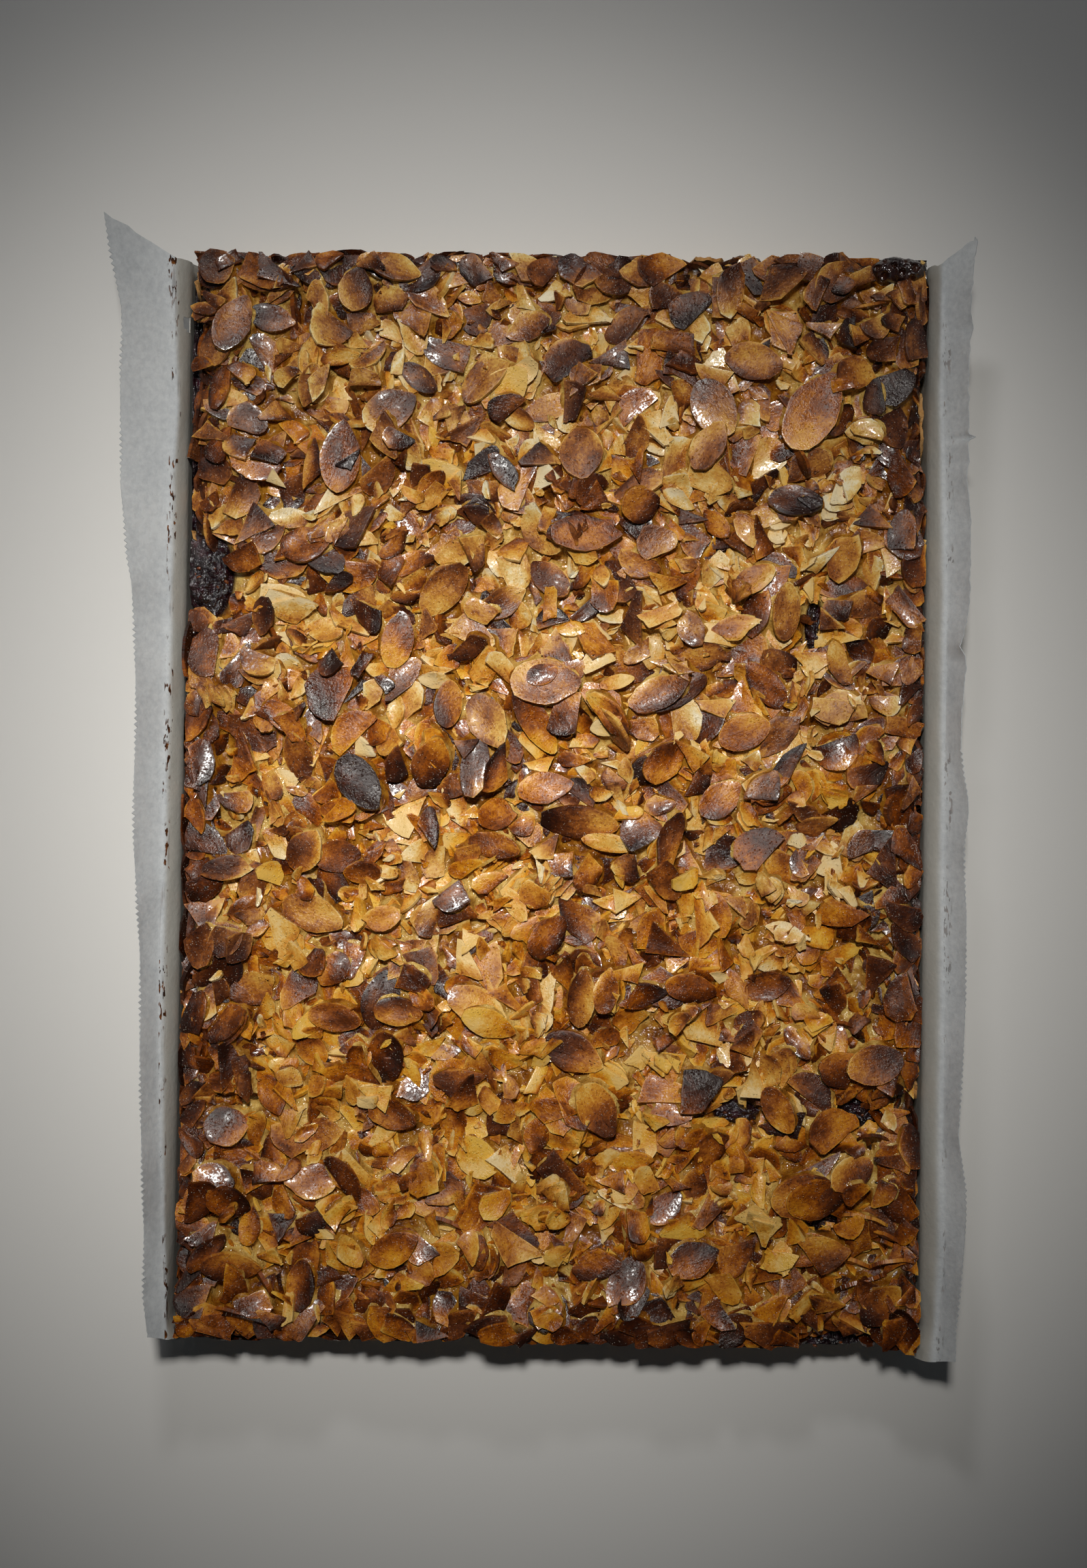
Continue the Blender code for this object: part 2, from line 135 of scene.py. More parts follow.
# %% Wires and finishes
class Wire:
    """An output socket that ordinary maths can be written with."""

    def __init__(self, finish, socket):
        self.finish = finish
        self.socket = socket

    def maths(self, operation, *values):
        return self.finish.node("Math", {"operation": operation}, dict(enumerate(values)))

    def __add__(self, other):
        return self.maths("ADD", self, other)

    __radd__ = __add__

    def __sub__(self, other):
        return self.maths("SUBTRACT", self, other)

    def __rsub__(self, other):
        return self.maths("SUBTRACT", other, self)

    def __mul__(self, other):
        return self.maths("MULTIPLY", self, other)

    __rmul__ = __mul__

    def ramp(self, low, high, start=0.0, end=1.0):
        """A smooth step from start to end as the value goes from low to high."""
        return self.finish.node("MapRange", {"interpolation_type": "SMOOTHSTEP"},
                                {0: self, 1: low, 2: high, 3: start, 4: end})


class Finish:
    """A material under construction: a Principled shader and the nodes that feed it."""

    def __init__(self, name, **settings):
        self.material = bpy.data.materials.new(name)
        self.material.use_nodes = True
        self.tree = self.material.node_tree
        self.shader = self.tree.nodes["Principled BSDF"]
        for socket, value in settings.items():
            self.shader.inputs[socket.replace("_", " ")].default_value = value

    def node(self, kind, settings=(), inputs=(), output=0):
        """Add a node: its settings first, then the values or wires of its sockets."""
        made = self.tree.nodes.new("ShaderNode" + kind)
        for name, value in dict(settings).items():
            if name == "stops":
                self.set_stops(made.color_ramp, value)
            else:
                setattr(made, name, value)
        for place, value in dict(inputs).items():
            if isinstance(value, Wire):
                self.tree.links.new(value.socket, made.inputs[place])
            else:
                made.inputs[place].default_value = value
        return Wire(self, made.outputs[output])

    @staticmethod
    def set_stops(ramp, stops):
        while len(ramp.elements) < len(stops):
            ramp.elements.new(0.5)
        for element, (place, colour) in zip(ramp.elements, stops):
            element.position = place
            element.color = colour

    def blend(self, factor, first, second, way="MIX"):
        """Mix two colours."""
        return self.node("Mix", {"data_type": "RGBA", "blend_type": way},
                         {0: factor, 6: first, 7: second}, 2)

    def stops(self, value, *stops):
        """Turn a value into a colour through a ramp."""
        return self.node("ValToRGB", {"stops": stops}, {0: value})

    def object_place(self):
        return self.node("TexCoord", output=3)

    def attribute(self, name):
        return self.node("Attribute", {"attribute_name": name}, output=2)

    def uv(self):
        return self.node("UVMap", {"uv_map": "UVMap"})

    def stretched(self, place, scale):
        return self.node("Mapping", {}, {0: place, "Scale": scale})

    def noise(self, place, scale, detail=3.0, rough=0.5):
        return self.node("TexNoise", {}, {"Vector": place, "Scale": scale, "Detail": detail,
                                          "Roughness": rough})

    def cells(self, place, scale):
        """Distance to the middle of the nearest of many random cells."""
        return self.node("TexVoronoi", {}, {"Vector": place, "Scale": scale})

    def feed(self, socket, wire):
        self.tree.links.new(wire.socket, self.shader.inputs[socket])

    def bump(self, height, distance):
        self.feed("Normal", self.node("Bump", {}, {"Height": height, "Distance": distance}))


def colour(code):
    """A colour written as in a paint program, turned into the linear light that shaders use."""
    values = [int(code[i:i + 2], 16) / 255 for i in (0, 2, 4)]
    linear = [v / 12.92 if v <= 0.04045 else ((v + 0.055) / 1.055) ** 2.4 for v in values]
    return (*linear, 1.0)


print("raw almond in linear light", [round(value, 3) for value in colour("F0DDB0")])

# %% [markdown]
# ## The plan of the slice
# A slice bakes against the tin, so its outline is the tin's with a few millimetres of wander and
# round corners. All three layers share one function for that outline, which keeps them in line.

# %% Outline that all the layers share
BACK_LEFT = Vector((-0.1002, 0.1479))
BACK_RIGHT = Vector((0.1005, 0.1501))
FRONT_RIGHT = Vector((0.1015, -0.1499))
FRONT_LEFT = Vector((-0.1018, -0.1481))
HALF_WIDTH = 0.101
HALF_LENGTH = 0.149
CORNER_RADIUS = 0.007
TIN_FLARE = 0.0013
SLICE_ROOF = 0.0257


def plan(u, v, inset=0.0):
    """Point of the slice's plan, for u and v from -1 to 1, with round corners."""
    reach = Vector((HALF_WIDTH - inset, HALF_LENGTH - inset))
    place = Vector((abs(u) * reach.x, abs(v) * reach.y))
    corner = reach - Vector((CORNER_RADIUS, CORNER_RADIUS))
    past = place - corner
    if min(past) > 0 and past.length > CORNER_RADIUS:
        place = corner + past.normalized() * CORNER_RADIUS
    u = math.copysign(place.x / HALF_WIDTH, u)
    v = math.copysign(place.y / HALF_LENGTH, v)
    front = FRONT_LEFT.lerp(FRONT_RIGHT, (u + 1) / 2)
    back = BACK_LEFT.lerp(BACK_RIGHT, (u + 1) / 2)
    return front.lerp(back, (v + 1) / 2)


def lumps(place, size, seed, octaves=1):
    """Smooth unevenness from about -1 to 1, with lumps of about the given size."""
    point = Vector((place[0] / size, place[1] / size, place[2] / size + seed))
    if octaves == 1:
        return noise.noise(point)
    return noise.fractal(point, 1.0, 2.0, octaves)


def tin_inset(height):
    """How far the side stands in from the top edge at a height."""
    return TIN_FLARE * (1 - height / SLICE_ROOF)


def side_distance(x, y):
    """Distance in from the nearest side, for arrays or numbers, leaving out the skew."""
    return np.minimum(HALF_WIDTH - np.abs(x), HALF_LENGTH - np.abs(y))


print("corners in mm", [in_mm(plan(u, v)) for u in (-1, 1) for v in (-1, 1)])

# %% [markdown]
# ## A bed that remembers how high it is
# Flaked almonds fall on each other, and each lies on the highest points under it. A physics
# engine could drop four thousand of them, but it would take long and wouldn't put any where it is
# wanted. Instead a fine grid holds the height of what has been laid so far. To lay a flake, a
# plane is fitted to the heights under it, and then the grid is raised to the flake's top.

# %% Height grid
BED_CORNER = (-0.107, -0.157)
BED_STEP = 0.0005


class Bed:
    """Height of all that has been laid so far, on a fine grid seen from above."""

    def __init__(self, step, height):
        self.step = step
        self.low = np.array(BED_CORNER)
        counts = np.ceil(-2 * self.low / step).astype(int)
        self.xs = self.low[0] + step * np.arange(counts[0])
        self.ys = self.low[1] + step * np.arange(counts[1])
        grid_x, grid_y = np.meshgrid(self.xs, self.ys, indexing="ij")
        self.height = height(grid_x, grid_y)

    def window(self, x, y, reach):
        """Slices of the grid round a place, and the distances of their points from it."""
        i = max(0, int((x - reach - self.low[0]) / self.step))
        j = max(0, int((y - reach - self.low[1]) / self.step))
        size = int(2 * reach / self.step) + 2
        part = (slice(i, min(i + size, len(self.xs))), slice(j, min(j + size, len(self.ys))))
        dx, dy = np.meshgrid(self.xs[part[0]] - x, self.ys[part[1]] - y, indexing="ij")
        return part, dx, dy

    def at(self, x, y, grid=None):
        """Height at a place, or what another grid of the same size says there."""
        i = np.clip(((np.asarray(x) - self.low[0]) / self.step).astype(int), 0, len(self.xs) - 1)
        j = np.clip(((np.asarray(y) - self.low[1]) / self.step).astype(int), 0, len(self.ys) - 1)
        return (self.height if grid is None else grid)[i, j]


def smoothed(grid, cells):
    """A grid blurred over a distance, counted in cells."""
    weights = np.exp(-0.5 * (np.arange(-3 * cells, 3 * cells + 1) / cells) ** 2)
    weights /= weights.sum()
    for axis in (0, 1):
        padded = np.pad(grid, [(3 * cells,) * 2 if a == axis else (0, 0) for a in (0, 1)], "edge")
        grid = np.apply_along_axis(lambda line: np.convolve(line, weights, "valid"), axis, padded)
    return grid


print("a flat grid stays flat when blurred:", round(float(smoothed(np.ones((9, 9)), 1).max()), 3))

# %% [markdown]
# ## Openings where the jam comes through
# In a few places the topping drew back and the jam boiled up. The slice gets a dip there, which
# the almonds keep clear of.

# %% Jam spots and the first height of the caramel
JAM_SPOTS = {
    "left_edge": ((-0.0955, 0.0600), (0.0068, 0.0115), 0.0224),
    "front_edge": ((0.0775, -0.1478), (0.0100, 0.0040), 0.0200),
    "right_front": ((0.0852, -0.0853), (0.0066, 0.0036), 0.0225),
    "middle_front": ((0.0512, -0.0855), (0.0060, 0.0028), 0.0225),
    "right_corner": ((0.0752, -0.1143), (0.0046, 0.0032), 0.0220),
    "right_back": ((0.0712, 0.0480), (0.0026, 0.0070), 0.0220),
    "left_strip": ((-0.0998, 0.1060), (0.0021, 0.0330), 0.0198),
}
CORE_ROOF = 0.0212
SIDE_DROP = 0.0020
SIDE_ROUND = 0.0045
SPOT_DIP = 0.0050
CORE_WAVE = 0.0007


def in_spots(x, y, spread=1.0):
    """1 in the middle of a jam spot, falling to 0 at its rim, for arrays."""
    found = np.zeros_like(np.asarray(x, float))
    for centre, half, _ in JAM_SPOTS.values():
        across, along = (x - centre[0]) / half[0], (y - centre[1]) / half[1]
        away = (across / spread) ** 2 + (along / spread) ** 2
        found = np.maximum(found, np.clip(1.6 - 1.6 * away, 0, 1))
    return found


def waves(x, y, seed, longest, count):
    """Unevenness from a sum of crossing waves, for arrays."""
    draw = random.Random(seed)
    total = np.zeros_like(np.asarray(x, float))
    for _ in range(count):
        way = draw.uniform(0, 2 * math.pi)
        length = longest * draw.uniform(0.35, 1.0)
        phase = draw.uniform(0, 2 * math.pi)
        run = x * math.cos(way) + y * math.sin(way)
        total = total + np.sin(run * 2 * math.pi / length + phase)
    return total / math.sqrt(count)


def core_height(x, y):
    """Height of the caramel before any flake lies on it."""
    side = np.clip(1 - side_distance(x, y) / SIDE_ROUND, 0, 1.3)
    height = CORE_ROOF + CORE_WAVE * waves(x, y, 5, 0.05, 9) - SIDE_DROP * side ** 2
    return height - SPOT_DIP * in_spots(x, y, 1.15)


bed = Bed(BED_STEP, core_height)
print("grid", bed.height.shape, "mm", in_mm((bed.height.min(), bed.height.max())))

# %% [markdown]
# ## Flake shapes
# A flaked almond is a slice of the nut: an oval a little pointed at one end, about a millimetre
# thick. Many are broken, with one to three snapped edges. Each shape starts as a circle in
# bmesh, is squeezed into the nut's outline, cut by planes, made uneven along the cuts, extruded
# to its thickness, bevelled at the rim and inset, so that it has enough faces to be bent. One or
# two dozen shapes of each kind are enough, because every flake is stretched, bent and coloured on
# its own.

# %% Shapes of whole and broken flakes
def lift_new(bm, grown, rise):
    """Move the vertices that an extrusion has made up or down."""
    verts = [part for part in grown if isinstance(part, bmesh.types.BMVert)]
    bmesh.ops.translate(bm, vec=(0, 0, rise), verts=verts)


class Shape:
    """A flake's mesh in a unit box, and its outline as seen from above."""

    def __init__(self, sides, point, cuts, rings, rim_bevel):
        bm = bmesh.new()
        bmesh.ops.create_circle(bm, cap_ends=True, segments=sides, radius=1)
        for vert in bm.verts:
            taper = 1 - point * max(0.0, vert.co.x) ** 1.6
            vert.co.y *= taper
            vert.co.xy *= 1 + 0.05 * lumps((vert.co.x, vert.co.y, point * 50), 0.55, 2.0)
        for angle, distance in cuts:
            way = Vector((math.cos(angle), math.sin(angle), 0))
            bmesh.ops.bisect_plane(bm, geom=bm.verts[:] + bm.edges[:] + bm.faces[:],
                                   plane_co=way * distance, plane_no=way, clear_outer=True)
        self.fit_unit_box(bm)
        ring = max(bm.faces, key=lambda face: face.calc_area())
        self.outline = np.array([vert.co.xy for vert in ring.verts])
        if ring.normal.z < 0:
            self.outline = self.outline[::-1]
        ends = np.roll(self.outline, -1, 0) - self.outline
        self.inward = np.stack([-ends[:, 1], ends[:, 0]], 1)
        self.inward /= np.linalg.norm(self.inward, axis=1)[:, None]
        middle = self.outline.mean(0)
        inner_radius = float(self.depth(middle[:1], middle[1:])[0])
        self.roughen(bm, 0.13 if cuts else 0.06, point * 50)
        self.extrude(bm, rings, rim_bevel, 0.75 * inner_radius / (rings + 1))
        self.store(bm)
        bm.free()

    @staticmethod
    def fit_unit_box(bm):
        places = np.array([vert.co.xy for vert in bm.verts])
        low, high = places.min(0), places.max(0)
        for vert in bm.verts:
            vert.co.x = (vert.co.x - (low[0] + high[0]) / 2) * 2 / (high[0] - low[0])
            vert.co.y = (vert.co.y - (low[1] + high[1]) / 2) * 2 / (high[1] - low[1])

    @staticmethod
    def roughen(bm, amount, seed):
        """Make the cut edges uneven, as those of a snapped almond are."""
        straight = [edge for edge in bm.edges if edge.calc_length() > 0.5]
        bmesh.ops.subdivide_edges(bm, edges=straight, cuts=3)
        for vert in bm.verts:
            vert.co.xy *= 1 + amount * lumps((vert.co.x, vert.co.y, seed), 0.42, 3.0, 2)

    @staticmethod
    def extrude(bm, rings, rim_bevel, ring_width):
        bmesh.ops.translate(bm, vec=(0, 0, -0.5), verts=bm.verts)
        lift_new(bm, bmesh.ops.extrude_face_region(bm, geom=bm.faces[:])["geom"], 1)
        bmesh.ops.recalc_face_normals(bm, faces=bm.faces)
        if rim_bevel:
            rim = [edge for edge in bm.edges if all(v.co.z > 0.49 for v in edge.verts)]
            bmesh.ops.bevel(bm, geom=rim, offset=rim_bevel, segments=1, affect="EDGES",
                            profile=0.5, material=-1)
        for _ in range(rings):
            top = max(bm.faces, key=lambda face: (round(face.calc_center_median().z, 3),
                                                  face.calc_area()))
            bmesh.ops.inset_region(bm, faces=[top], thickness=ring_width,
                                   use_even_offset=False)
        caps = [face for face in bm.faces if len(face.verts) > 4]
        bmesh.ops.poke(bm, faces=caps)

    def store(self, bm):
        bm.verts.index_update()
        self.points = np.array([vert.co[:] for vert in bm.verts])
        self.loops = np.array([vert.index for face in bm.faces for vert in face.verts])
        self.sizes = np.array([len(face.verts) for face in bm.faces])
        depth = self.depth(self.points[:, 0], self.points[:, 1])
        self.rim = np.clip(1 - depth / 0.32, 0, 1)

    def depth(self, u, v):
        """How far inside the outline points lie; less than nothing outside it."""
        steps = (u[..., None] - self.outline[:, 0]) * self.inward[:, 0]
        steps = steps + (v[..., None] - self.outline[:, 1]) * self.inward[:, 1]
        return steps.min(-1)


def make_shapes(seed, count, sides, cuts, rings, rim_bevel):
    """A family of shapes, each with a few cuts at angles of its own."""
    draw = random.Random(seed)
    shapes = []
    for _ in range(count):
        angle = draw.uniform(0, 2 * math.pi)
        chosen = []
        for _ in range(draw.randint(*cuts)):
            chosen.append((angle, draw.uniform(0.1, 0.65)))
            angle += draw.uniform(1.4, 2.9)
        shapes.append(Shape(sides, draw.uniform(0.15, 0.55), chosen, rings, rim_bevel))
    return shapes


WHOLE = make_shapes(21, 14, 20, (0, 0), 2, 0.05)
CHIPPED = make_shapes(22, 18, 18, (1, 1), 2, 0.05)
BROKEN = make_shapes(23, 24, 16, (1, 3), 1, 0.07)
LOW_BROKEN = make_shapes(24, 16, 12, (1, 3), 1, 0)
CRUMB = make_shapes(25, 8, 7, (1, 2), 0, 0)
print("faces of a whole, a broken and a crumb shape:",
      [len(family[0].sizes) for family in (WHOLE, BROKEN, CRUMB)])

# %% [markdown]
# ## Laying a flake
# The plane under a flake comes from least squares, where points that poke above the plane count
# more. The slope is limited, a little chance is added, and the flake settles until a share of
# the heights under it is buried in it, as almonds stick in soft caramel. Some flakes lean on
# their neighbours instead, at a slope that is given. A laid flake keeps its shape, its pose and
# the way it is bent and browned.

# %% Resting rule
Flake = namedtuple("Flake", "shape place axes size bend brown")
HEADROOM = 0.0004
BEND_LEVEL = 0.3
POKE_WEIGHT = 6


def axes_on(slope, turn):
    """Length, width and upward directions of a flake on a slope."""
    upward = np.array([-slope[0], -slope[1], 1.0])
    upward /= np.linalg.norm(upward)
    lengthways = np.array([math.cos(turn), math.sin(turn), 0.0])
    lengthways[2] = slope[0] * lengthways[0] + slope[1] * lengthways[1]
    lengthways /= np.linalg.norm(lengthways)
    return np.stack([lengthways, np.cross(upward, lengthways), upward])


def fitted_slope(dx, dy, heights, steepest):
    """Slope of the plane that a flake comes to rest on."""
    columns = np.stack([np.ones_like(dx), dx, dy], 1)
    weight = np.ones_like(dx)
    for _ in range(2):
        weighted = columns * weight[:, None]
        tilt = np.linalg.solve(weighted.T @ columns + np.eye(3) * 1e-9, weighted.T @ heights)
        weight = 1 + POKE_WEIGHT * (heights > columns @ tilt)
    slope = tilt[1:]
    steepness = np.linalg.norm(slope)
    return slope * min(1.0, steepest / max(steepness, 1e-9))


def curl(bend, u, v):
    """How far a bent flake's points are lifted at its ends and at its sides."""
    return bend[0] * (u * u - BEND_LEVEL) + bend[1] * (v * v - BEND_LEVEL)


def kept_inside(shape, x, y, length, width, turn, gap):
    """Move a flake in from the sides until all of its outline is on the slice."""
    across = shape.outline * (length / 2, width / 2)
    xs = x + across[:, 0] * math.cos(turn) - across[:, 1] * math.sin(turn)
    ys = y + across[:, 0] * math.sin(turn) + across[:, 1] * math.cos(turn)
    share = min(1.0, max(0.0, (y / HALF_LENGTH + 1) / 2))
    left = FRONT_LEFT.lerp(BACK_LEFT, share).x + gap
    right = FRONT_RIGHT.lerp(BACK_RIGHT, share).x - gap
    share = min(1.0, max(0.0, (x / HALF_WIDTH + 1) / 2))
    front = FRONT_LEFT.lerp(FRONT_RIGHT, share).y + gap
    back = BACK_LEFT.lerp(BACK_RIGHT, share).y - gap
    x += max(0.0, left - xs.min()) - max(0.0, xs.max() - right)
    y += max(0.0, front - ys.min()) - max(0.0, ys.max() - back)
    return x, y


def lay(shape, x, y, length, width, turn, thick, bend, brown, slope=None, rock=(0, 0), sink=0.2,
        steepest=0.45, poke=0.0015, gap=0.0001):
    """Put a flake on the bed and raise the bed to its top."""
    if slope is None:
        x, y = kept_inside(shape, x, y, length, width, turn, gap)
    part, dx, dy = bed.window(x, y, max(length, width) / 2)
    leaning = slope is not None
    slope = np.array(slope if leaning else (0.0, 0.0), float)
    for attempt in range(2):
        axes = axes_on(slope, turn)
        dz = slope[0] * dx + slope[1] * dy
        u = (dx * axes[0, 0] + dy * axes[0, 1] + dz * axes[0, 2]) * 2 / length
        v = (dx * axes[1, 0] + dy * axes[1, 1] + dz * axes[1, 2]) * 2 / width
        inside = shape.depth(u, v) > 0
        if inside.sum() < 3:
            inside = (np.abs(dx) + np.abs(dy)) < 2 * bed.step
        if leaning or attempt:
            break
        slope = fitted_slope(dx[inside], dy[inside], bed.height[part][inside], steepest)
        slope = slope + np.array(rock)
    if leaning:
        base = np.median(bed.height[part][inside]) + poke - dz[inside].max()
    else:
        base = np.quantile((bed.height[part] - dz)[inside], 1 - sink)
    top = base + thick + dz + curl(bend, u, v)
    excess = max(0.0, top[inside].max() + HEADROOM - TOPPING_HIGH.z)
    top = top - excess
    centre = np.array([x, y, base - excess + thick / 2])
    bed.height[part] = np.where(inside, np.maximum(bed.height[part], top), bed.height[part])
    return Flake(shape, centre, axes, (length, width, thick), bend, brown)


ramp_x, ramp_y = [side.ravel() for side in np.meshgrid(bed.xs[:9] - bed.xs[4],
                                                       bed.ys[:9] - bed.ys[4])]
print("slope found on a ramp that rises 3 in 10:",
      fitted_slope(ramp_x, ramp_y, 0.3 * ramp_x, 0.45).round(2))

# %% [markdown]
# ## From flakes to one mesh
# Thousands of objects would be slow, so all flakes of one kind become one mesh, joined from
# arrays. Each point also carries how brown it is, how rosy, how wet, how much syrup it took up
# and how deep it lies, and a UV that runs along its flake. So one material can colour every
# flake differently.

# %% Joining flakes
FLAKE_ATTRIBUTES = ("toast", "rosy", "wet", "amber", "deep")
SAME_ALL_OVER = ("rosy", "wet", "amber")
UV_SIZE = 0.01
DEEP = 0.0014
CUT_EDGE_HIGHLIGHT = 0.93


def mesh_from(bm, name):
    mesh = bpy.data.meshes.new(name)
    bm.to_mesh(mesh)
    bm.free()
    return mesh


def keep_in_box(bm, low, high):
    """Move points that reach past the sides of a box back to them."""
    for vert in bm.verts:
        vert.co.x = min(max(vert.co.x, low.x), high.x)
        vert.co.y = min(max(vert.co.y, low.y), high.y)


def mesh_from_arrays(name, points, loops, sizes):
    mesh = bpy.data.meshes.new(name)
    mesh.vertices.add(len(points))
    mesh.vertices.foreach_set("co", points.astype(np.float32).ravel())
    mesh.loops.add(len(loops))
    mesh.loops.foreach_set("vertex_index", loops.astype(np.int32))
    mesh.polygons.add(len(sizes))
    mesh.polygons.foreach_set("loop_start", (np.cumsum(sizes) - sizes).astype(np.int32))
    mesh.update(calc_edges=True)
    mesh.validate()
    return mesh


def add_attribute(mesh, name, values):
    layer = mesh.attributes.new(name, "FLOAT", "POINT")
    layer.data.foreach_set("value", values.astype(np.float32))


ROUNDED = math.radians(80)


def new_piece(name, mesh, finish, node, sharp=math.radians(50)):
    """Make the object, give it its finish and tie it to the model."""
    mesh.materials.append(finish.material)
    mesh.shade_smooth()
    mesh.set_sharp_from_angle(angle=sharp)
    piece = add_object(name, mesh)
    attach(piece, "root")
    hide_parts(node)
    print(name, len(mesh.polygons), "faces")
    return piece


def flake_points(flake, draw):
    """Points of one flake, and how brown each of them is."""
    u, v, w = flake.shape.points.T
    length, width, thick = flake.size
    lift = curl(flake.bend, u, v) + flake.bend[2] * u * v
    phases = draw.uniform(0, 6.28, 4)
    ripple = np.sin(3.1 * u + 2.3 * v + phases[0]) + np.sin(4.3 * v - 2.7 * u + phases[1])
    lift = lift + flake.brown["crinkle"] * ripple
    local = np.stack([u * length / 2, v * width / 2, w * thick + lift], 1)
    points = flake.place + local @ flake.axes
    brown = flake.brown
    along = u * math.cos(brown["way"]) + v * math.sin(brown["way"])
    patch = np.sin(2.6 * u + phases[2]) * np.sin(2.9 * v + phases[3])
    toast = brown["toast"] + brown["drift"] * along + 0.08 * patch
    toast = toast + brown["rim"] * (flake.shape.rim ** 1.6 - 0.2)
    # The outermost ring is made paler: the raw almond of the cut, and a painted highlight where
    # light catches the glazed rim.
    toast = toast - 0.14 * (flake.shape.rim > CUT_EDGE_HIGHLIGHT)
    return points, toast, local


def behind_lips(points):
    """Move points of flakes in from where the shortbread climbed the side."""
    for side, stretches in CRUST_LIPS.items():
        axis, sign = {"left": (0, -1), "right": (0, 1), "back": (1, 1)}[side]
        for centre, width, _ in stretches:
            edge = plan(centre / HALF_WIDTH, 1) if axis else plan(sign, centre / HALF_LENGTH)
            limit = abs(edge[axis]) - LIP_THICKNESS
            near = np.abs(points[:, 1 - axis] - centre) < width / 2
            points[near, axis] = sign * np.minimum(sign * points[near, axis], limit)
    return points


def join_flakes(name, flakes, seed):
    """One mesh from many flakes."""
    draw = np.random.default_rng(seed)
    around = smoothed(bed.height, 5)
    parts = {key: [] for key in ("points", "toast", *SAME_ALL_OVER, "loops", "sizes", "uv")}
    start = 0
    for flake in flakes:
        points, toast, local = flake_points(flake, draw)
        count = len(points)
        offset = draw.uniform(0, 40, 2)
        parts["points"].append(points)
        parts["toast"].append(toast)
        for key in SAME_ALL_OVER:
            parts[key].append(np.full(count, flake.brown[key]))
        parts["loops"].append(flake.shape.loops + start)
        parts["sizes"].append(flake.shape.sizes)
        parts["uv"].append((local[:, :2] / UV_SIZE + offset)[flake.shape.loops])
        start += count
    joined = {key: np.concatenate(values) for key, values in parts.items()}
    points = behind_lips(joined["points"])
    points = np.clip(points, np.array(TOPPING_LOW), np.array(TOPPING_HIGH))
    sunk = bed.at(points[:, 0], points[:, 1], around) - points[:, 2]
    joined["deep"] = np.clip(sunk / DEEP, 0, 1)
    mesh = mesh_from_arrays(name, points, joined["loops"], joined["sizes"])
    for key in FLAKE_ATTRIBUTES:
        add_attribute(mesh, key, joined[key])
    layer = mesh.uv_layers.new(name="UVMap")
    layer.data.foreach_set("uv", joined["uv"].astype(np.float32).ravel())
    return mesh


print("every point of a flake knows its", ", ".join(FLAKE_ATTRIBUTES))

# %% [markdown]
# ## How brown a flake is
# Almonds brown from the rim inwards, and more where they stick out of the caramel or lie near
# the hot sides of the tin. The thin cut edge is painted paler: partly the raw almond that the cut
# shows, partly a painted highlight where the glazed rim catches the light. `toast` runs from 0, a
# raw white almond, to 1, burnt black.

# %% Browning
HOT_SIDE = 0.034


def side_heat(x, y):
    """Extra browning near the sides of the tin."""
    return float(np.clip(1 - side_distance(x, y) / HOT_SIDE, 0, 1)) ** 1.3


def syrup_share(x, y):
    """How much syrup colours the flakes: more towards the front of the slice."""
    return 0.72 - y / 0.26 + 0.25 * float(waves(x, y, 9, 0.08, 5))


def browning(draw, x, y, toast, spread=0.0, rosy=0.25, drift=None, way=None):
    """How one flake is coloured: its toast, which way that rises, its rim and its sheen."""
    return {
        "amber": min(1.0, max(0.0, draw.gauss(syrup_share(x, y), 0.30))),
        "toast": min(max(0.70, toast), toast + draw.gauss(0, spread)
                     + (0.28 * side_heat(x, y) if spread else 0)),
        "drift": draw.uniform(0.04, 0.26) if drift is None else drift,
        "way": draw.uniform(0, 2 * math.pi) if way is None else way,
        "rim": draw.uniform(-0.08, 0.17),
        "rosy": min(1.0, max(0.0, draw.gauss(rosy, 0.25))),
        "wet": min(1.0, max(0.0, draw.gauss(0.6, 0.3))),
        "crinkle": draw.uniform(0.00004, 0.00020),
    }


def bending(draw, size=1.0):
    """How far a flake's ends and sides curl up or down, and how much it is twisted."""
    return (draw.gauss(0.0002, 0.0004) * size, draw.gauss(0.0002, 0.00025) * size,
            draw.gauss(0, 0.0002) * size)


print("side heat in the middle, 20 mm from the side and at the side:",
      [round(side_heat(x, 0), 2) for x in (0, HALF_WIDTH - 20 * MM, HALF_WIDTH)])

# %% [markdown]
# ## Places that stay free
# Flakes leave three kinds of places free: the openings with jam, the few stretches where the
# shortbread climbed the tin, and the corner where the syrup burnt. Shortbread and burnt sugar
# are made further down, but their places are needed here. A stretch of shortbread is given by
# its middle, its length and its height.

# %% Climbed shortbread and burnt corner
CRUST_AT = (0.0926, 0.1457)
CRUST_REACH = (0.0084, 0.0040)
CRUST_LIPS = {
    "left": ((0.1410, 0.0090, 0.0235), (0.0715, 0.0040, 0.0215)),
    "right": ((0.1040, 0.0270, 0.0225), (-0.0790, 0.0080, 0.0225)),
    "back": ((0.0410, 0.0120, 0.0235),),
}
LIP_THICKNESS = 0.0016
LIP_ROOM = 0.0012
BEHIND_LIP = 0.0014


def on_lip(x, y):
    """Whether a place is over the shortbread that climbed the side."""
    for side, stretches in CRUST_LIPS.items():
        for centre, width, _ in stretches:
            run, out = (x, y - HALF_LENGTH) if side == "back" else (y, abs(x) - HALF_WIDTH)
            if side in ("left", "right") and (x < 0) != (side == "left"):
                continue
            if abs(run - centre) < width / 2 and out > -LIP_THICKNESS - LIP_ROOM:
                return True
    return False


def behind_lip(place):
    """How far jam and caramel stand in behind the shortbread that climbed the side."""
    return BEHIND_LIP if on_lip(place.x, place.y) else 0.0


def kept_free(x, y, spread=1.15):
    """Whether a place belongs to the jam, the shortbread or the burnt sugar."""
    across, along = (x - CRUST_AT[0]) / CRUST_REACH[0], (y - CRUST_AT[1]) / CRUST_REACH[1]
    burnt = math.hypot(across, along) < 1.1
    return burnt or in_spots(x, y, spread) > 0 or on_lip(x, y)


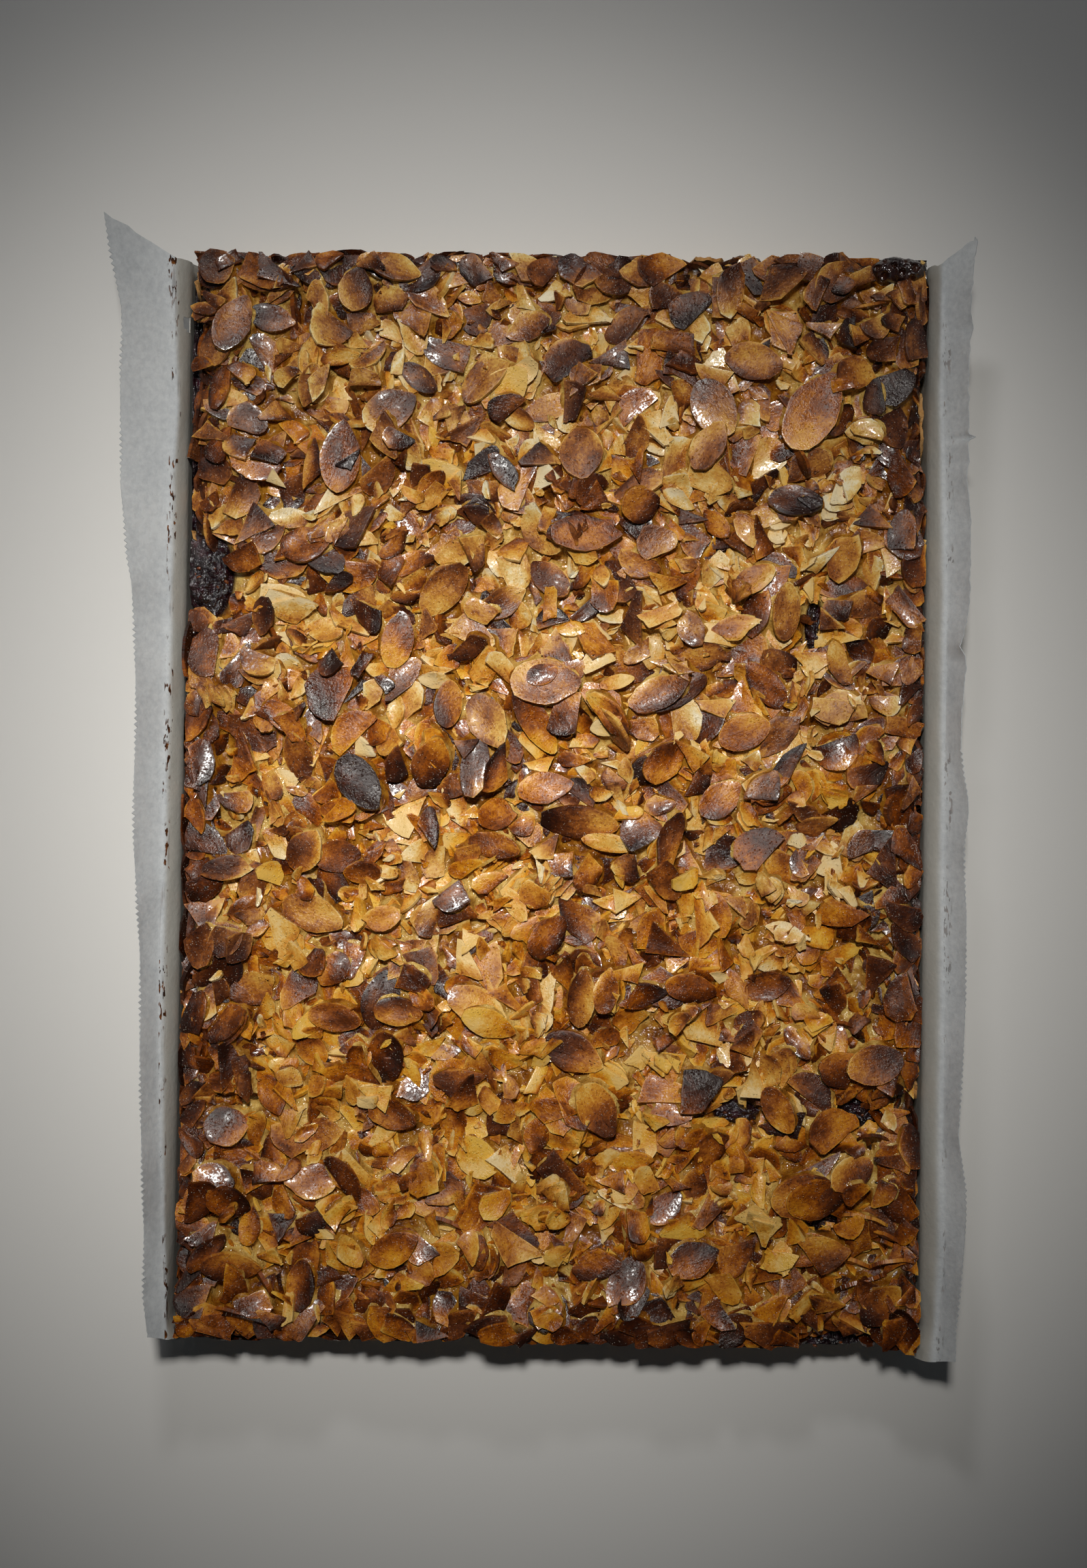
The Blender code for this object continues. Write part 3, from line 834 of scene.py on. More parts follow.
print("kept free: burnt corner", kept_free(*CRUST_AT), "and middle of the slice", kept_free(0, 0))

# %% [markdown]
# ## Scattering flakes
# Flakes strewn at random would leave bald patches and heaps. So a new flake always takes the
# lowest of a few random places, which fills the slice evenly without a pattern. Some flakes come
# in stacks, since the nut was sliced into leaves that still cling together, and some lean on
# their neighbours, most often near the sides.

# %% Scattering rule
def open_place(draw, tries, margin):
    """The lowest of a few random places that are clear of the jam."""
    best = None
    while best is None or tries > 0:
        tries -= 1
        x = draw.uniform(-1, 1) * (HALF_WIDTH - margin)
        y = draw.uniform(-1, 1) * (HALF_LENGTH - margin)
        if kept_free(x, y):
            continue
        height = float(bed.at(x, y))
        if best is None or height < best[2]:
            best = (x, y, height)
    return best[:2]


THICKNESS = (0.0008, 0.0012)


def scatter(seed, count, shapes, lengths, ratio, margin, toast, spread, tries=4, sink=0.16,
            rock=0.06, lean=0.0, bend_size=1.0, steepest=0.45, stack=0.0, avoid=(),
            thick=THICKNESS):
    """Lay many flakes of one kind: so long, of such a width for their length, so toasted."""
    draw = random.Random(seed)
    laid = []
    while len(laid) < count:
        x, y = open_place(draw, tries, margin)
        if any(math.hypot(x - at[0], y - at[1]) < at[2] for at in avoid):
            continue
        length = draw.uniform(*lengths)
        width = length * draw.uniform(*ratio)
        turn = draw.uniform(0, 2 * math.pi)
        slope = None
        if draw.random() < lean * (1 + 2 * side_heat(x, y)):
            steep = draw.uniform(0.5, 1.6)
            slope = (steep * math.cos(turn + math.pi / 2), steep * math.sin(turn + math.pi / 2))
        brown = browning(draw, x, y, toast, spread)
        bend = bending(draw, bend_size)
        way = draw.uniform(0, 2 * math.pi)
        leaves = draw.randint(2, 4) if draw.random() < stack else 1
        for leaf in range(leaves):
            step = leaf * draw.uniform(0.0010, 0.0024)
            size = 1 - 0.06 * leaf
            laid.append(lay(draw.choice(shapes), x + step * math.cos(way), y + step * math.sin(way),
                            length * size, width * size,
                            turn + draw.gauss(0, 0.16) * min(leaf, 1), draw.uniform(*thick), bend,
                            {**brown, "toast": brown["toast"] + draw.gauss(0, 0.04)}, slope,
                            (draw.gauss(0, rock), draw.gauss(0, rock)), sink, steepest,
                            draw.uniform(0.0008, 0.0022)))
    return laid


print("one open place, in mm", in_mm(open_place(random.Random(3), 20, 0.004)))

# %% [markdown]
# ## The under-layer
# Between the large flakes one sees pale, wet, broken almonds that the caramel has nearly
# covered. They go down first, and fill the topping up to where the caramel comes.

# %% Pale broken flakes under the rest
under = scatter(31, 900, LOW_BROKEN, (0.005, 0.012), (0.5, 0.8), 0.0035, 0.15, 0.09)
print("under-layer top in mm", in_mm([np.median(bed.height)]))

# %% [markdown]
# ## The caramel
# The caramel ran down between those flakes and set as a film that joins them. Its top is the
# bed's height blurred, so that it fills the hollows and leaves the crests free. Only its level
# is kept for now, since more flakes and more caramel follow.

# %% Caramel level
def caramel_over(cells, sink, deepest):
    """Height of caramel that has run into the hollows of the bed, and raise the bed to it."""
    level = np.minimum(smoothed(bed.height, cells) - sink, bed.height + deepest)
    dips = in_spots(*np.meshgrid(bed.xs, bed.ys, indexing="ij"), 1.1) > 0
    level[dips] = np.minimum(level, bed.height)[dips]
    bed.height = np.maximum(bed.height, level)
    return level


caramel_level = caramel_over(3, 0.0006, 0.0016)
print("caramel in mm", in_mm((caramel_level.min(), caramel_level.max())))

# %% [markdown]
# ## Flakes along the sides of the tin
# Where the slice baked against the tin, flakes stand on edge in rows, dark from the hot wall.
# Others lie flat and reach right up to the edge, which gives the slice its ragged outline. Both
# are laid while walking along each side, with random steps.

# %% Flakes along the sides of the tin
def along_sides(draw, start, spacing, chance, depth=0.0):
    """Walk along each side in random steps: which way it runs, its sign, and a place."""
    for turn, sign in ((math.pi / 2, -1), (math.pi / 2, 1), (0, -1), (0, 1)):
        reach, out = (HALF_LENGTH, HALF_WIDTH) if turn else (HALF_WIDTH, HALF_LENGTH)
        run = start - reach
        while run < reach - start:
            in_from_side = depth * draw.uniform(0.7, 1.3) if depth else 0.0
            away = sign * (out - in_from_side)
            x, y = (away, run) if turn else (run, away)
            run += spacing * draw.uniform(1 - chance, 1 + chance)
            yield turn, sign, x, y


def side_flakes(seed, spacing, depths):
    """Flakes that stand against the wall of the tin, in rows along each side."""
    draw = random.Random(seed)
    laid = []
    for depth in depths:
        for side_turn, sign, x, y in along_sides(draw, 0.006, spacing, 0.4, depth):
            if kept_free(x, y):
                continue
            steep = sign * draw.uniform(0.9, 2.6) * draw.choice((1, 1, 1, -0.4))
            steep = steep if side_turn else -steep
            turn = side_turn + draw.gauss(0, 0.22)
            length = draw.uniform(0.008, 0.016)
            laid.append(lay(draw.choice(WHOLE + CHIPPED + BROKEN), x, y, length,
                            length * draw.uniform(0.5, 0.75), turn,
                            draw.uniform(*THICKNESS), bending(draw, 0.7),
                            browning(draw, x, y, 0.46, 0.12),
                            (steep * math.sin(turn), -steep * math.cos(turn)),
                            poke=draw.uniform(-0.0002, 0.0012)))
    return laid


def edge_flakes(seed, spacing, toast):
    """Flakes that lie flat right up to the edge, all the way round."""
    draw = random.Random(seed)
    laid = []
    for side_turn, _, x, y in along_sides(draw, 0.003, spacing, 0.5):
        if kept_free(x, y, 1.2) or kept_free(x + 0.004, y, 1.0):
            continue
        length = draw.uniform(0.007, 0.014)
        turn = side_turn + draw.gauss(0, 0.5)
        laid.append(lay(draw.choice(CHIPPED + BROKEN), 1.05 * x, 1.05 * y, length,
                        length * draw.uniform(0.5, 0.8), turn, draw.uniform(*THICKNESS),
                        bending(draw, 0.8), browning(draw, x, y, toast, 0.12), steepest=0.3,
                        gap=draw.choice((0.0001, 0.0001, 0.0008))))
    return laid


sides = side_flakes(51, 0.0042, (0.0022, 0.0052)) + edge_flakes(52, 0.0050, 0.28)
print("flakes along the sides", len(sides))

# %% [markdown]
# ## Golden and toasted flakes
# The flakes that one sees come in two goes with a film of caramel between them: golden ones
# first, and then more toasted ones on top, because what sticks out browns most. Larger flakes
# follow smaller ones in each go, since a large flake laid first would be buried.

# %% Flakes on the caramel
middle = scatter(32, 640, BROKEN + CHIPPED, (0.0075, 0.0135), (0.5, 0.85), 0.0042, 0.27, 0.16,
                 lean=0.10, stack=0.22)
middle += scatter(33, 300, BROKEN + CHIPPED, (0.010, 0.0155), (0.5, 0.75), 0.0055, 0.34, 0.14,
                  lean=0.08, stack=0.25)
film_level = caramel_over(2, 0.0005, 0.0007)
caramel_level = np.maximum(caramel_level, film_level)
upper = scatter(34, 360, BROKEN + CHIPPED, (0.0080, 0.0140), (0.45, 0.8), 0.0042, 0.36, 0.18,
                lean=0.14, bend_size=1.2, stack=0.25)
upper += scatter(35, 130, CHIPPED + BROKEN + WHOLE, (0.010, 0.0165), (0.5, 0.72), 0.0070, 0.44,
                 0.12, lean=0.06, bend_size=1.3)
upper += edge_flakes(53, 0.0060, 0.32)
print("laid", len(under + sides + middle + upper), "flakes, up to a height in mm of",
      in_mm([np.quantile(bed.height, 0.99)]))

# %% [markdown]
# ## Finish of the almonds
# A toasted almond goes from cream over tan to dark brown, in patches, with a fine grain along its
# length. Syrup has soaked into it and turned it amber. Tiny pale dots in its colour are painted
# glints, and points that lie deep between flakes are painted darker, as painted shade in the gaps.
# Colour comes from `toast` through a ramp, with noise of several sizes to break it up. The syrup
# is a colour that multiplies the almond's own, because it works as a filter. Where it is still
# wet a coat shines in small beads, and elsewhere the surface is duller.

# %% Almond finish
TOAST_STOPS = (
    (0.00, colour("F2E6C4")), (0.12, colour("EACE88")), (0.25, colour("DCAE58")),
    (0.38, colour("C28A42")), (0.52, colour("965C2E")), (0.68, colour("643920")),
    (0.84, colour("452315")), (1.00, colour("281511")),
)


def almond_finish():
    finish = Finish("toasted_almond", IOR=1.42, Coat_Roughness=0.20, Coat_IOR=1.60)
    uv = finish.uv()
    toast = finish.attribute("toast")
    rosy = finish.attribute("rosy")
    wet = finish.attribute("wet")
    deep = finish.attribute("deep")
    amber = finish.attribute("amber")
    grain = finish.noise(finish.stretched(uv, (1.2, 7.0, 1.0)), 2.2, 4.0, 0.6)
    mottle = finish.noise(uv, 1.5, 4.0, 0.6)
    blotch = finish.noise(uv, 5.0, 4.0, 0.65)
    specks = finish.noise(uv, 11.0, 2.0, 0.5).ramp(0.60, 0.72)
    toast_and_shade = toast + (mottle - 0.5) * 0.50 + (blotch - 0.5) * 0.34 + (grain - 0.5) * 0.12
    froth = finish.noise(uv, 15.0, 3.0, 0.6)
    # Points that lie deep between other flakes are darkened here: painted shade in the gaps,
    # besides the syrup they take up.
    toast_and_shade = toast_and_shade + deep * 0.16 + (froth - 0.5) * 0.30
    base = finish.stops(toast_and_shade * 1.22 + specks * 0.16 - 0.035, *TOAST_STOPS)
    # Rosy flakes are multiplied by a dusky tone: partly a tone of their own, partly a painted sheen
    # of cool light on the glaze.
    dusk = finish.blend(1.0, base, colour("EBD6C2"), "MULTIPLY")
    plain = finish.blend(rosy.ramp(0.65, 1.05), base, dusk)
    syrup = finish.blend(1.0, base, colour("FBD068"), "MULTIPLY")
    film = finish.noise(uv, 1.3, 3.0, 0.6).ramp(0.36, 0.58)
    soaked = (wet * (0.25 + 0.75 * film) + deep * 0.8).ramp(0.10, 0.70)
    tint = finish.blend(amber * 0.80 + deep * 0.25 + soaked * 0.20, plain, syrup)
    patchy = finish.noise(uv, 2.6, 2.0, 0.5).ramp(0.42, 0.58)
    blisters = finish.cells(uv, 12.0).ramp(0.05, 0.34, 1.0, 0.0) * patchy
    droplets = finish.cells(uv, 14.0).ramp(0.05, 0.26, 1.0, 0.0)
    # Pale dots mixed into the colour are painted glints, where the glaze's small bubbles would
    # catch the light.
    painted_glints = droplets * finish.noise(uv, 4.0, 2.0, 0.5).ramp(0.42, 0.58)
    finish.feed("Base Color", finish.blend(painted_glints * 0.46, tint, colour("F6E8D2")))
    finish.feed("Roughness", 0.44 - 0.18 * soaked - 0.12 * blisters)
    beads = (froth + 0.5 * blotch).ramp(0.73, 0.87) * toast.ramp(0.65, 0.85, 1.0, 0.3)
    finish.feed("Coat Weight", (wet + 0.5 * film + deep * 0.6).ramp(0.45, 1.05) * beads)
    relief = 0.12 * grain + 0.20 * mottle + 0.34 * blotch + (0.08 + 0.12 * soaked) * froth
    finish.bump(relief + 0.30 * blisters + 0.08 * droplets, 0.00062)
    return finish


ALMOND = almond_finish()
print("nodes in the almond finish", len(ALMOND.tree.nodes))

# %% [markdown]
# ## Finish of the caramel
# Caramel is cream-coloured where butter clouds it, amber where it is clear, and nearly black
# where it touched the tin. Two ramps give the cream and the amber, a broad noise chooses between
# them, and an attribute on the mesh says how near the side a point is. Small bubbles are a bump.

# %% Caramel finish
def caramel_finish():
    finish = Finish("caramel", IOR=1.55, Roughness=0.14)
    place = finish.object_place()
    edge = finish.attribute("edge")
    cloud = finish.noise(place, 240.0, 4.0, 0.6)
    region = finish.noise(place, 70.0, 2.0, 0.5)
    cream = finish.stops(cloud, (0.25, colour("7A4A14")), (0.42, colour("B8883A")),
                         (0.57, colour("E0BC6A")), (0.75, colour("9C6A26")))
    amber = finish.stops(cloud, (0.25, colour("431F08")), (0.45, colour("854C10")),
                         (0.62, colour("B27A24")), (0.78, colour("5E300B")))
    thin = finish.blend(region.ramp(0.46, 0.60), amber, cream)
    burnt = finish.stops(cloud, (0.3, colour("130907")), (0.55, colour("2A120B")),
                         (0.8, colour("572A12")))
    mask = (edge + (cloud - 0.5) * 0.6).ramp(0.25, 0.70)
    finish.feed("Base Color", finish.blend(mask, thin, burnt))
    bubbles = finish.cells(place, 900.0).ramp(0.0, 0.5, 1.0, 0.0)
    finish.bump(finish.noise(place, 420.0, 4.0, 0.6) + bubbles * 0.3, 0.00070)
    return finish


CARAMEL = caramel_finish()
print("nodes in the caramel finish", len(CARAMEL.tree.nodes))

# %% [markdown]
# ## Almonds with a place of their own
# The larger and darker almonds give the slice its face, so they are laid one by one. The list
# gives for each its kind: w whole, c with one straight side, b broken, e on edge. Then come its
# place in the picture, length and width in millimetres, the turn in degrees and how toasted it is.
# A last number, if there is one, is the direction in degrees in which it gets darker.

# %% Placed almonds
# The whole flakes at 700 1480 and 718 1505 get very little toast, so they are painted near white: a
# painted highlight for the glare on them.
PLACED = """
w 319 390 10.5 9.5 20 0.6; b 337 381 7 6 0 0.6; w 388 404 17 8 -12 0.62; b 443 381 8 5 20 0.65;
b 484 381 8 6 0 0.45; c 466 438 11 6.5 90 0.35; c 480 484 12 10 -35 0.42; b 528 466 9 7 30 0.45;
w 521 422 12.5 9.5 80 0.5; w 397 463 13 8 -12 0.7; w 317 502 14 9 60 0.48; w 342 472 17 10 65 0.5;
b 328 424 8.5 6 10 0.35; b 314 440 7.5 6 0 0.6; e 434 445 16 5 100 0.55;
c 571 436 10 8 20 0.42 -90; w 581 390 14 8 -15 0.3; b 544 378 8 6 10 0.5; c 388 511 12 7 -50 0.45;
b 440 537 10 7.5 60 0.34; b 422 553 8 6 0 0.35; c 466 560 11 5 60 0.42; w 500 523 11 4.5 8 0.2;
c 544 525 12 4 40 0.5; b 535 550 9 6 0 0.4; w 321 564 13.5 6 75 0.55; b 353 546 8 7 10 0.4;
b 346 580 6 5 0 0.02; c 360 612 11 9 0 0.65; b 399 603 9 7 20 0.45; w 571 599 16 11 30 0.58;
b 374 681 13 10 20 0.35; b 392 661 10 7 0 0.72; c 312 686 10 9 0 0.7; b 323 652 11 8 40 0.6;
b 349 656 9 7 0 0.6; b 429 631 9 7 0 0.3; c 457 681 14 5 85 0.62; c 565 640 13 8 -60 0.5;
w 498 668 20 11 85 0.64; b 509 670 7 5 70 0.96; b 585 642 9 7 10 0.8 0; b 710 680 13 8 60 0.92;
c 740 690 12 6 -50 0.88; b 789 668 11 8 20 0.72; w 854 662 15.5 12 90 0.56;
c 832 520 14 10 30 0.74; b 744 596 11 8 0 0.72; c 518 775 15 11 20 0.74;
w 446 799 13.7 10.8 5 0.55; b 361 765 12 9 30 0.58; c 494 851 9 5.5 10 0.9;
c 539 900 12 7 -70 0.85; w 582 938 16 9 80 0.44; b 812 908 9 7 -10 0.86; b 861 895 10 5 30 0.82;
b 352 818 11 8 10 0.6; w 651 864 18 10 50 0.42; c 482 1012 17 13 80 0.72; b 484 975 8 6 60 0.88;
b 531 973 9 5 40 0.82; b 563 1004 6 5 0 0.86; w 526 1150 18 11 -55 0.94; c 583 1123 10 7 60 0.84;
w 447 1249 13 10 60 0.52; c 331 1275 14 7 10 0.58; b 349 1229 10 8 80 0.74;
w 457 1343 18 10 -20 0.36; c 290 1120 14 9 70 0.68; b 671 1338 12 9 0 0.68;
w 804 1376 14 9 50 0.66; b 459 1417 9 7 40 0.7; b 605 1438 10 8 0 0.76; c 628 1216 12 6 85 0.76;
w 700 1480 18 10 -25 0.1; w 718 1505 16 8 -20 0.06; w 490 1496 15 8 -10 0.56;
w 584 1487 14 8 -5 0.56; w 843 1549 18 11 -25 0.64 160; w 877 1632 17 11 -60 0.48 -60;
b 676 1608 10 9 20 0.66; w 574 1640 14 8 -20 0.58; w 330 1658 13 11 10 0.58;
c 299 1752 16 11 10 0.68; c 503 1732 15 6 -50 0.78; e 669 1811 15 6 -15 0.52;
b 456 1795 10 8 60 0.8; w 439 1892 14 8 85 0.58; w 577 1839 15 9 30 0.45; w 854 1467 16 8 85 0.5;
w 890 1455 13 7 80 0.5; c 947 1462 12 7 10 0.76; w 1016 1454 15 8 -8 0.68;
c 1025 1601 14 12 20 0.88; w 1144 1632 14 8 -60 0.44; c 1235 1574 12 10 0 0.62;
w 1287 1566 16 11 15 0.52; w 1179 1757 18 12 20 0.55; w 1019 1854 15 10 20 0.64;
w 1188 1840 17 9 10 0.42; w 1252 1728 14 9 30 0.44; c 1224 1659 15 10 30 0.44;
c 1327 1467 13 10 70 0.58; c 1074 422 15 8 85 0.52 90; b 1017 452 13 11 0 0.8;
c 1147 409 14 9 20 0.56; w 1227 411 13 10 50 0.56; w 1108 528 16 10 -10 0.46;
b 1314 565 14 10 10 0.86; b 1290 580 10 8 60 0.8; w 1195 601 24 14 60 0.44;
e 1172 666 14 6 -60 0.72; w 1170 734 15 9 -5 0.86; b 1190 738 7 4 0 0.98;
w 1050 597 17 12 -60 0.52; w 1041 654 15 9 60 0.5; c 1328 695 12 8 80 0.6; c 1328 776 12 8 80 0.6;
w 860 783 20 10 0 0.52; w 941 739 11 10 20 0.6; c 963 794 11 10 40 0.54; b 980 846 9 8 30 0.32;
b 873 725 9 8 10 0.62; w 1156 897 16 8 85 0.44; w 1109 849 13 7 30 0.38; c 1241 817 14 9 75 0.36;
b 1234 893 9 7 20 0.76; w 991 1015 20 9 25 0.58 -45; w 1095 1075 15 10 20 0.42;
c 1116 1247 14 12 10 0.7; w 1060 1174 14 9 40 0.44; c 1124 1158 11 9 60 0.66;
w 657 1033 13 8 85 0.55; w 716 1060 17 10.6 -60 0.42; w 785 1058 21 8 -58 0.5 120;
c 835 1051 13 9.5 35 0.6; w 801 1001 20 13 0 0.44; w 796 990 9 6 20 0.68; c 888 1030 16 8 -35 0.34;
c 894 1048 16 7 -45 0.48 -45; e 898 1066 16 7 -50 0.66; w 906 1001 10 4 15 0.06;
w 968 1017 18 9 25 0.56 -45; b 857 1086 9 5 10 0.18; w 801 1157 15.7 9 10 0.4;
b 790 1120 8 5 -10 0.14; w 632 1119 15 10 70 0.62 -90; w 697 1127 17 8 80 0.74;
b 688 1097 7 6 20 0.72; c 732 1129 14 7 60 0.64; b 755 1176 5 2 10 0.03;
w 851 1207 21.7 9.3 -5 0.64 180; w 725 1242 15.3 7 -12 0.6; w 899 1239 17 5 -8 0.05;
c 941 1219 11.5 11 20 0.66; c 984 1239 17 7 80 0.6; c 948 1131 9 8 20 0.95; w 977 1118 15 9 45 0.5;
b 904 1145 8 7 0 0.45; b 824 1271 8.5 7.4 20 0.55; b 863 1283 11.5 7.6 80 0.48 -90;
b 920 1276 8 8 -90 0.6 0; c 980 1297 12 8 -60 0.6; b 899 1317 9 8 60 0.34; b 971 1182 9 6 20 0.5;
b 844 1113 10 5 10 0.5; b 860 1138 6 5 0 0.2; b 883 1164 7 5 20 0.3; c 729 1196 11 9 20 0.5;
b 769 1212 8 6 30 0.42; b 798 1244 8 7 0 0.35; b 686 1255 9 7 60 0.4; c 718 1297 10 6 10 0.34;
b 787 1313 9 9 20 0.35; b 660 1320 10 8 20 0.7; b 1267 406 8 6.5 0 0.35; b 1237 419 7 5 10 0.62;
b 1300 423 6.5 5 0 0.35; c 1326 434 7 6 20 0.2; e 1280 446 14.8 6 12 0.7; b 1335 423 8 6 80 0.48;
e 1355 439 10 5 90 0.5; b 1243 486 9 5.5 90 0.93; b 1270 493 9 6 0 0.55; b 1289 479 9 7 20 0.45;
b 1312 471 7 5 0 0.6; b 1299 511 10 7 20 0.7; w 1259 545 11.7 9 -10 0.35; b 1213 478 9 7 30 0.4;
c 313 1729 11.5 7 -10 0.5; c 288 1763 13 10 30 0.68; w 334 1767 13 8.5 -20 0.72;
b 334 1782 7 3 50 0.3; w 364 1805 10.8 6 80 0.4; b 376 1738 10 7 0 0.48; b 387 1723 9 7 20 0.42;
b 293 1813 9 7 0 0.58; w 303 1840 14 6 45 0.6; w 338 1863 16.8 8.7 -5 0.48;
b 339 1893 13 9 -50 0.5; b 393 1849 7 5 0 0.25; b 404 1800 9 7 60 0.8; e 380 1884 13 5 -60 0.76;
c 280 1914 11 9 10 0.66; e 363 1945 18.7 7 -12 0.78; e 350 1935 16 7 -14 0.74;
b 372 1920 10 7 20 0.52; b 399 1939 9 6 0 0.56; w 1201 1763 18 12 10 0.55;
b 1259 1756 8.5 6.5 0 0.4; c 1298 1756 9 7 20 0.45; e 1275 1797 13 6 -12 0.5;
b 1251 1806 9 6 20 0.28; e 1305 1822 11 5 -25 0.5; e 1302 1834 11 5 -25 0.56;
c 1212 1845 14 11 10 0.45; e 1260 1865 11 5 -15 0.45; e 1314 1861 12.6 6 8 0.66;
e 1269 1892 15 6 18 0.64; e 1235 1933 18 7 40 0.64; b 1216 1913 9 7 20 0.42;
w 1296 1919 15 9 50 0.48 -135; b 1334 1906 8 5 60 0.55; b 1244 1954 8 6 0 0.4;
c 1309 1970 12 7 45 0.5; e 270 1212 17 7 92 0.86; e 267 1300 18 6 88 0.84; e 268 1385 17 6 90 0.88;
e 272 1440 14 6 70 0.8; e 262 1560 15 6 90 0.82; e 276 955 15 6 88 0.84; e 266 1090 16 6 92 0.82
"""
KINDS = {"w": WHOLE, "c": CHIPPED, "b": BROKEN, "e": WHOLE + CHIPPED}
PLACED_THICKNESS = (0.0009, 0.0012)


def lay_placed(seed, rows):
    """Lay the listed almonds over the others."""
    draw = random.Random(seed)
    laid = []
    for row in rows.split(";"):
        kind, *numbers = row.split()
        across, down, length, width, turn, toast, *darker = [float(number) for number in numbers]
        x, y = seen(across, down)
        toast = 0.38 + 0.70 * (toast - 0.42) + 0.6 * max(0.0, toast - 0.7) + 0.12 * side_heat(x, y)
        turn = math.radians(turn)
        way = math.radians(darker[0]) - turn if darker else None
        slope = None
        if kind == "e":
            steep = draw.uniform(1.6, 2.6)
            slope = (-steep * math.sin(turn), steep * math.cos(turn))
            width = max(width, 0.45 * length)
        drift = 0.30 if darker else draw.uniform(0.08, 0.30)
        brown = browning(draw, x, y, toast, 0.0, 0.20, drift, way)
        laid.append(lay(draw.choice(KINDS[kind]), x, y, length * MM, width * MM, turn,
                        draw.uniform(*PLACED_THICKNESS), bending(draw, 0.7), brown, slope,
                        (draw.gauss(0, 0.03), draw.gauss(0, 0.03)), 0.03, 0.36, 0.0016))
    return laid


placed = lay_placed(61, PLACED)
print("placed almonds", len(placed))

# %% [markdown]
# ## Chips and crumbs
# Slicing almonds leaves thin chips and crumbs. Chips lie between the placed almonds, then the last
# of the caramel runs in, and pale slivers and crumbs stick half out of it in the hollows.

# %% Chips and crumbs
THIN = (0.0005, 0.0008)
kept_clear = [(*flake.place[:2], 0.40 * flake.size[0]) for flake in placed]
chips = scatter(62, 300, BROKEN, (0.0055, 0.0110), (0.45, 0.8), 0.0036, 0.29, 0.16, tries=6,
                lean=0.10, stack=0.15, avoid=kept_clear)
caramel_level = np.maximum(caramel_level, caramel_over(2, 0.0006, 0.0009))
crumbs = scatter(71, 300, LOW_BROKEN, (0.0030, 0.0075), (0.35, 0.8), 0.0030, 0.28, 0.13, tries=10,
                 rock=0.12, bend_size=0.2, steepest=0.6, sink=0.35, avoid=kept_clear, thick=THIN)
crumbs += scatter(72, 160, CRUMB, (0.0012, 0.0032), (0.4, 0.9), 0.0022, 0.38, 0.14, tries=6,
                  rock=0.2, bend_size=0.2, steepest=0.8, sink=0.45, avoid=kept_clear, thick=THIN)
crumbs += scatter(73, 40, CRUMB, (0.0025, 0.0055), (0.3, 0.6), 0.006, 0.06, 0.03, tries=1,
                  rock=0.1, bend_size=0.3, avoid=kept_clear)
print("chips", len(chips), "slivers and crumbs", len(crumbs))

# %% [markdown]
# ## The topping's body
# All that the caramel filled is one solid: a fine grid moved to the caramel's height, whose border
# is extruded down the side in rows and closed below. It is made after the last almond, so that the
# caramel also creeps up round the ones that lie on top.

# %% Caramel mesh
CARAMEL_STEP = 0.0009
TOP_INSET = 0.0006
RIM_INSET = 0.0014
SIDE_INSET = 0.0010
SIDE_WOBBLE = 0.0011
SIDE_ROWS = 10
TOPPING_FLOOR = TOPPING_LOW.z


def surface_height(place):
    ripple = lumps((place.x, place.y, 0), 0.0018, 7.0)
    return float(bed.at(place.x, place.y, caramel_level)) + 0.00012 * ripple


def edge_darkness(place):
    side = float(side_distance(place.x, place.y))
    return max(0.0, min(1.0, 1.2 - side / 0.006), float(in_spots(place.x, place.y, 1.3)))


def closed_grid(x_cells, y_cells, rows):
    """A grid from -1 to 1, with rows of side faces at heights -1, -2 and on, closed below."""
    bm = bmesh.new()
    bmesh.ops.create_grid(bm, x_segments=x_cells, y_segments=y_cells, size=1.0)
    for _ in range(rows):
        rim = [edge for edge in bm.edges if edge.is_boundary]
        lift_new(bm, bmesh.ops.extrude_edge_only(bm, edges=rim)["geom"], -1)
    bmesh.ops.contextual_create(bm, geom=[edge for edge in bm.edges if edge.is_boundary])
    return bm


def caramel_mesh():
    """The topping's body: a grid at the caramel's height, and its sides."""
    bm = closed_grid(round(2 * HALF_WIDTH / CARAMEL_STEP), round(2 * HALF_LENGTH / CARAMEL_STEP),
                     SIDE_ROWS)
    darkness = bm.verts.layers.float.new("edge")
    for vert in bm.verts:
        u, v, row = vert.co
        if row < 0:
            roof = surface_height(plan(u, v, RIM_INSET))
            height = roof + (TOPPING_FLOOR - roof) * -row / SIDE_ROWS
            spot = plan(u, v)
            inset = tin_inset(height) + SIDE_INSET + behind_lip(spot)
            inset -= SIDE_WOBBLE * lumps((spot.x, spot.y, height), 0.0030, 3.0, 3)
            place = plan(u, v, inset)
            vert[darkness] = 1.0
        else:
            place = plan(u, v, TOP_INSET if max(abs(u), abs(v)) < 0.9999 else RIM_INSET)
            height = surface_height(place)
            vert[darkness] = edge_darkness(place)
        vert.co = (place.x, place.y, height)
    bmesh.ops.recalc_face_normals(bm, faces=bm.faces)
    return mesh_from(bm, "caramel")


new_piece("caramel", caramel_mesh(), CARAMEL, "topping", ROUNDED)

# %% [markdown]
# ## The flakes as a few meshes
# Each go of flakes becomes one mesh of its own, so that no piece holds too many triangles.

# %% Flake meshes
for name, flakes, seed in (("pale_flakes", under, 41), ("golden_flakes", middle, 42),
                           ("toasted_flakes", upper, 43), ("side_flakes", sides, 44),
                           ("placed_flakes", placed, 45), ("almond_chips", chips, 47),
                           ("almond_crumbs", crumbs, 46)):
    new_piece(name, join_flakes(name, flakes, seed), ALMOND, "topping",
              math.radians(32))

# %% [markdown]
# ## Layers as rings of points
# Shortbread and jam are seen only at the side of the slice. So each is a ring of points round
# the slice, extruded upward row by row, with a flat cap above and below. A function of the piece
# then moves every point to where it belongs.

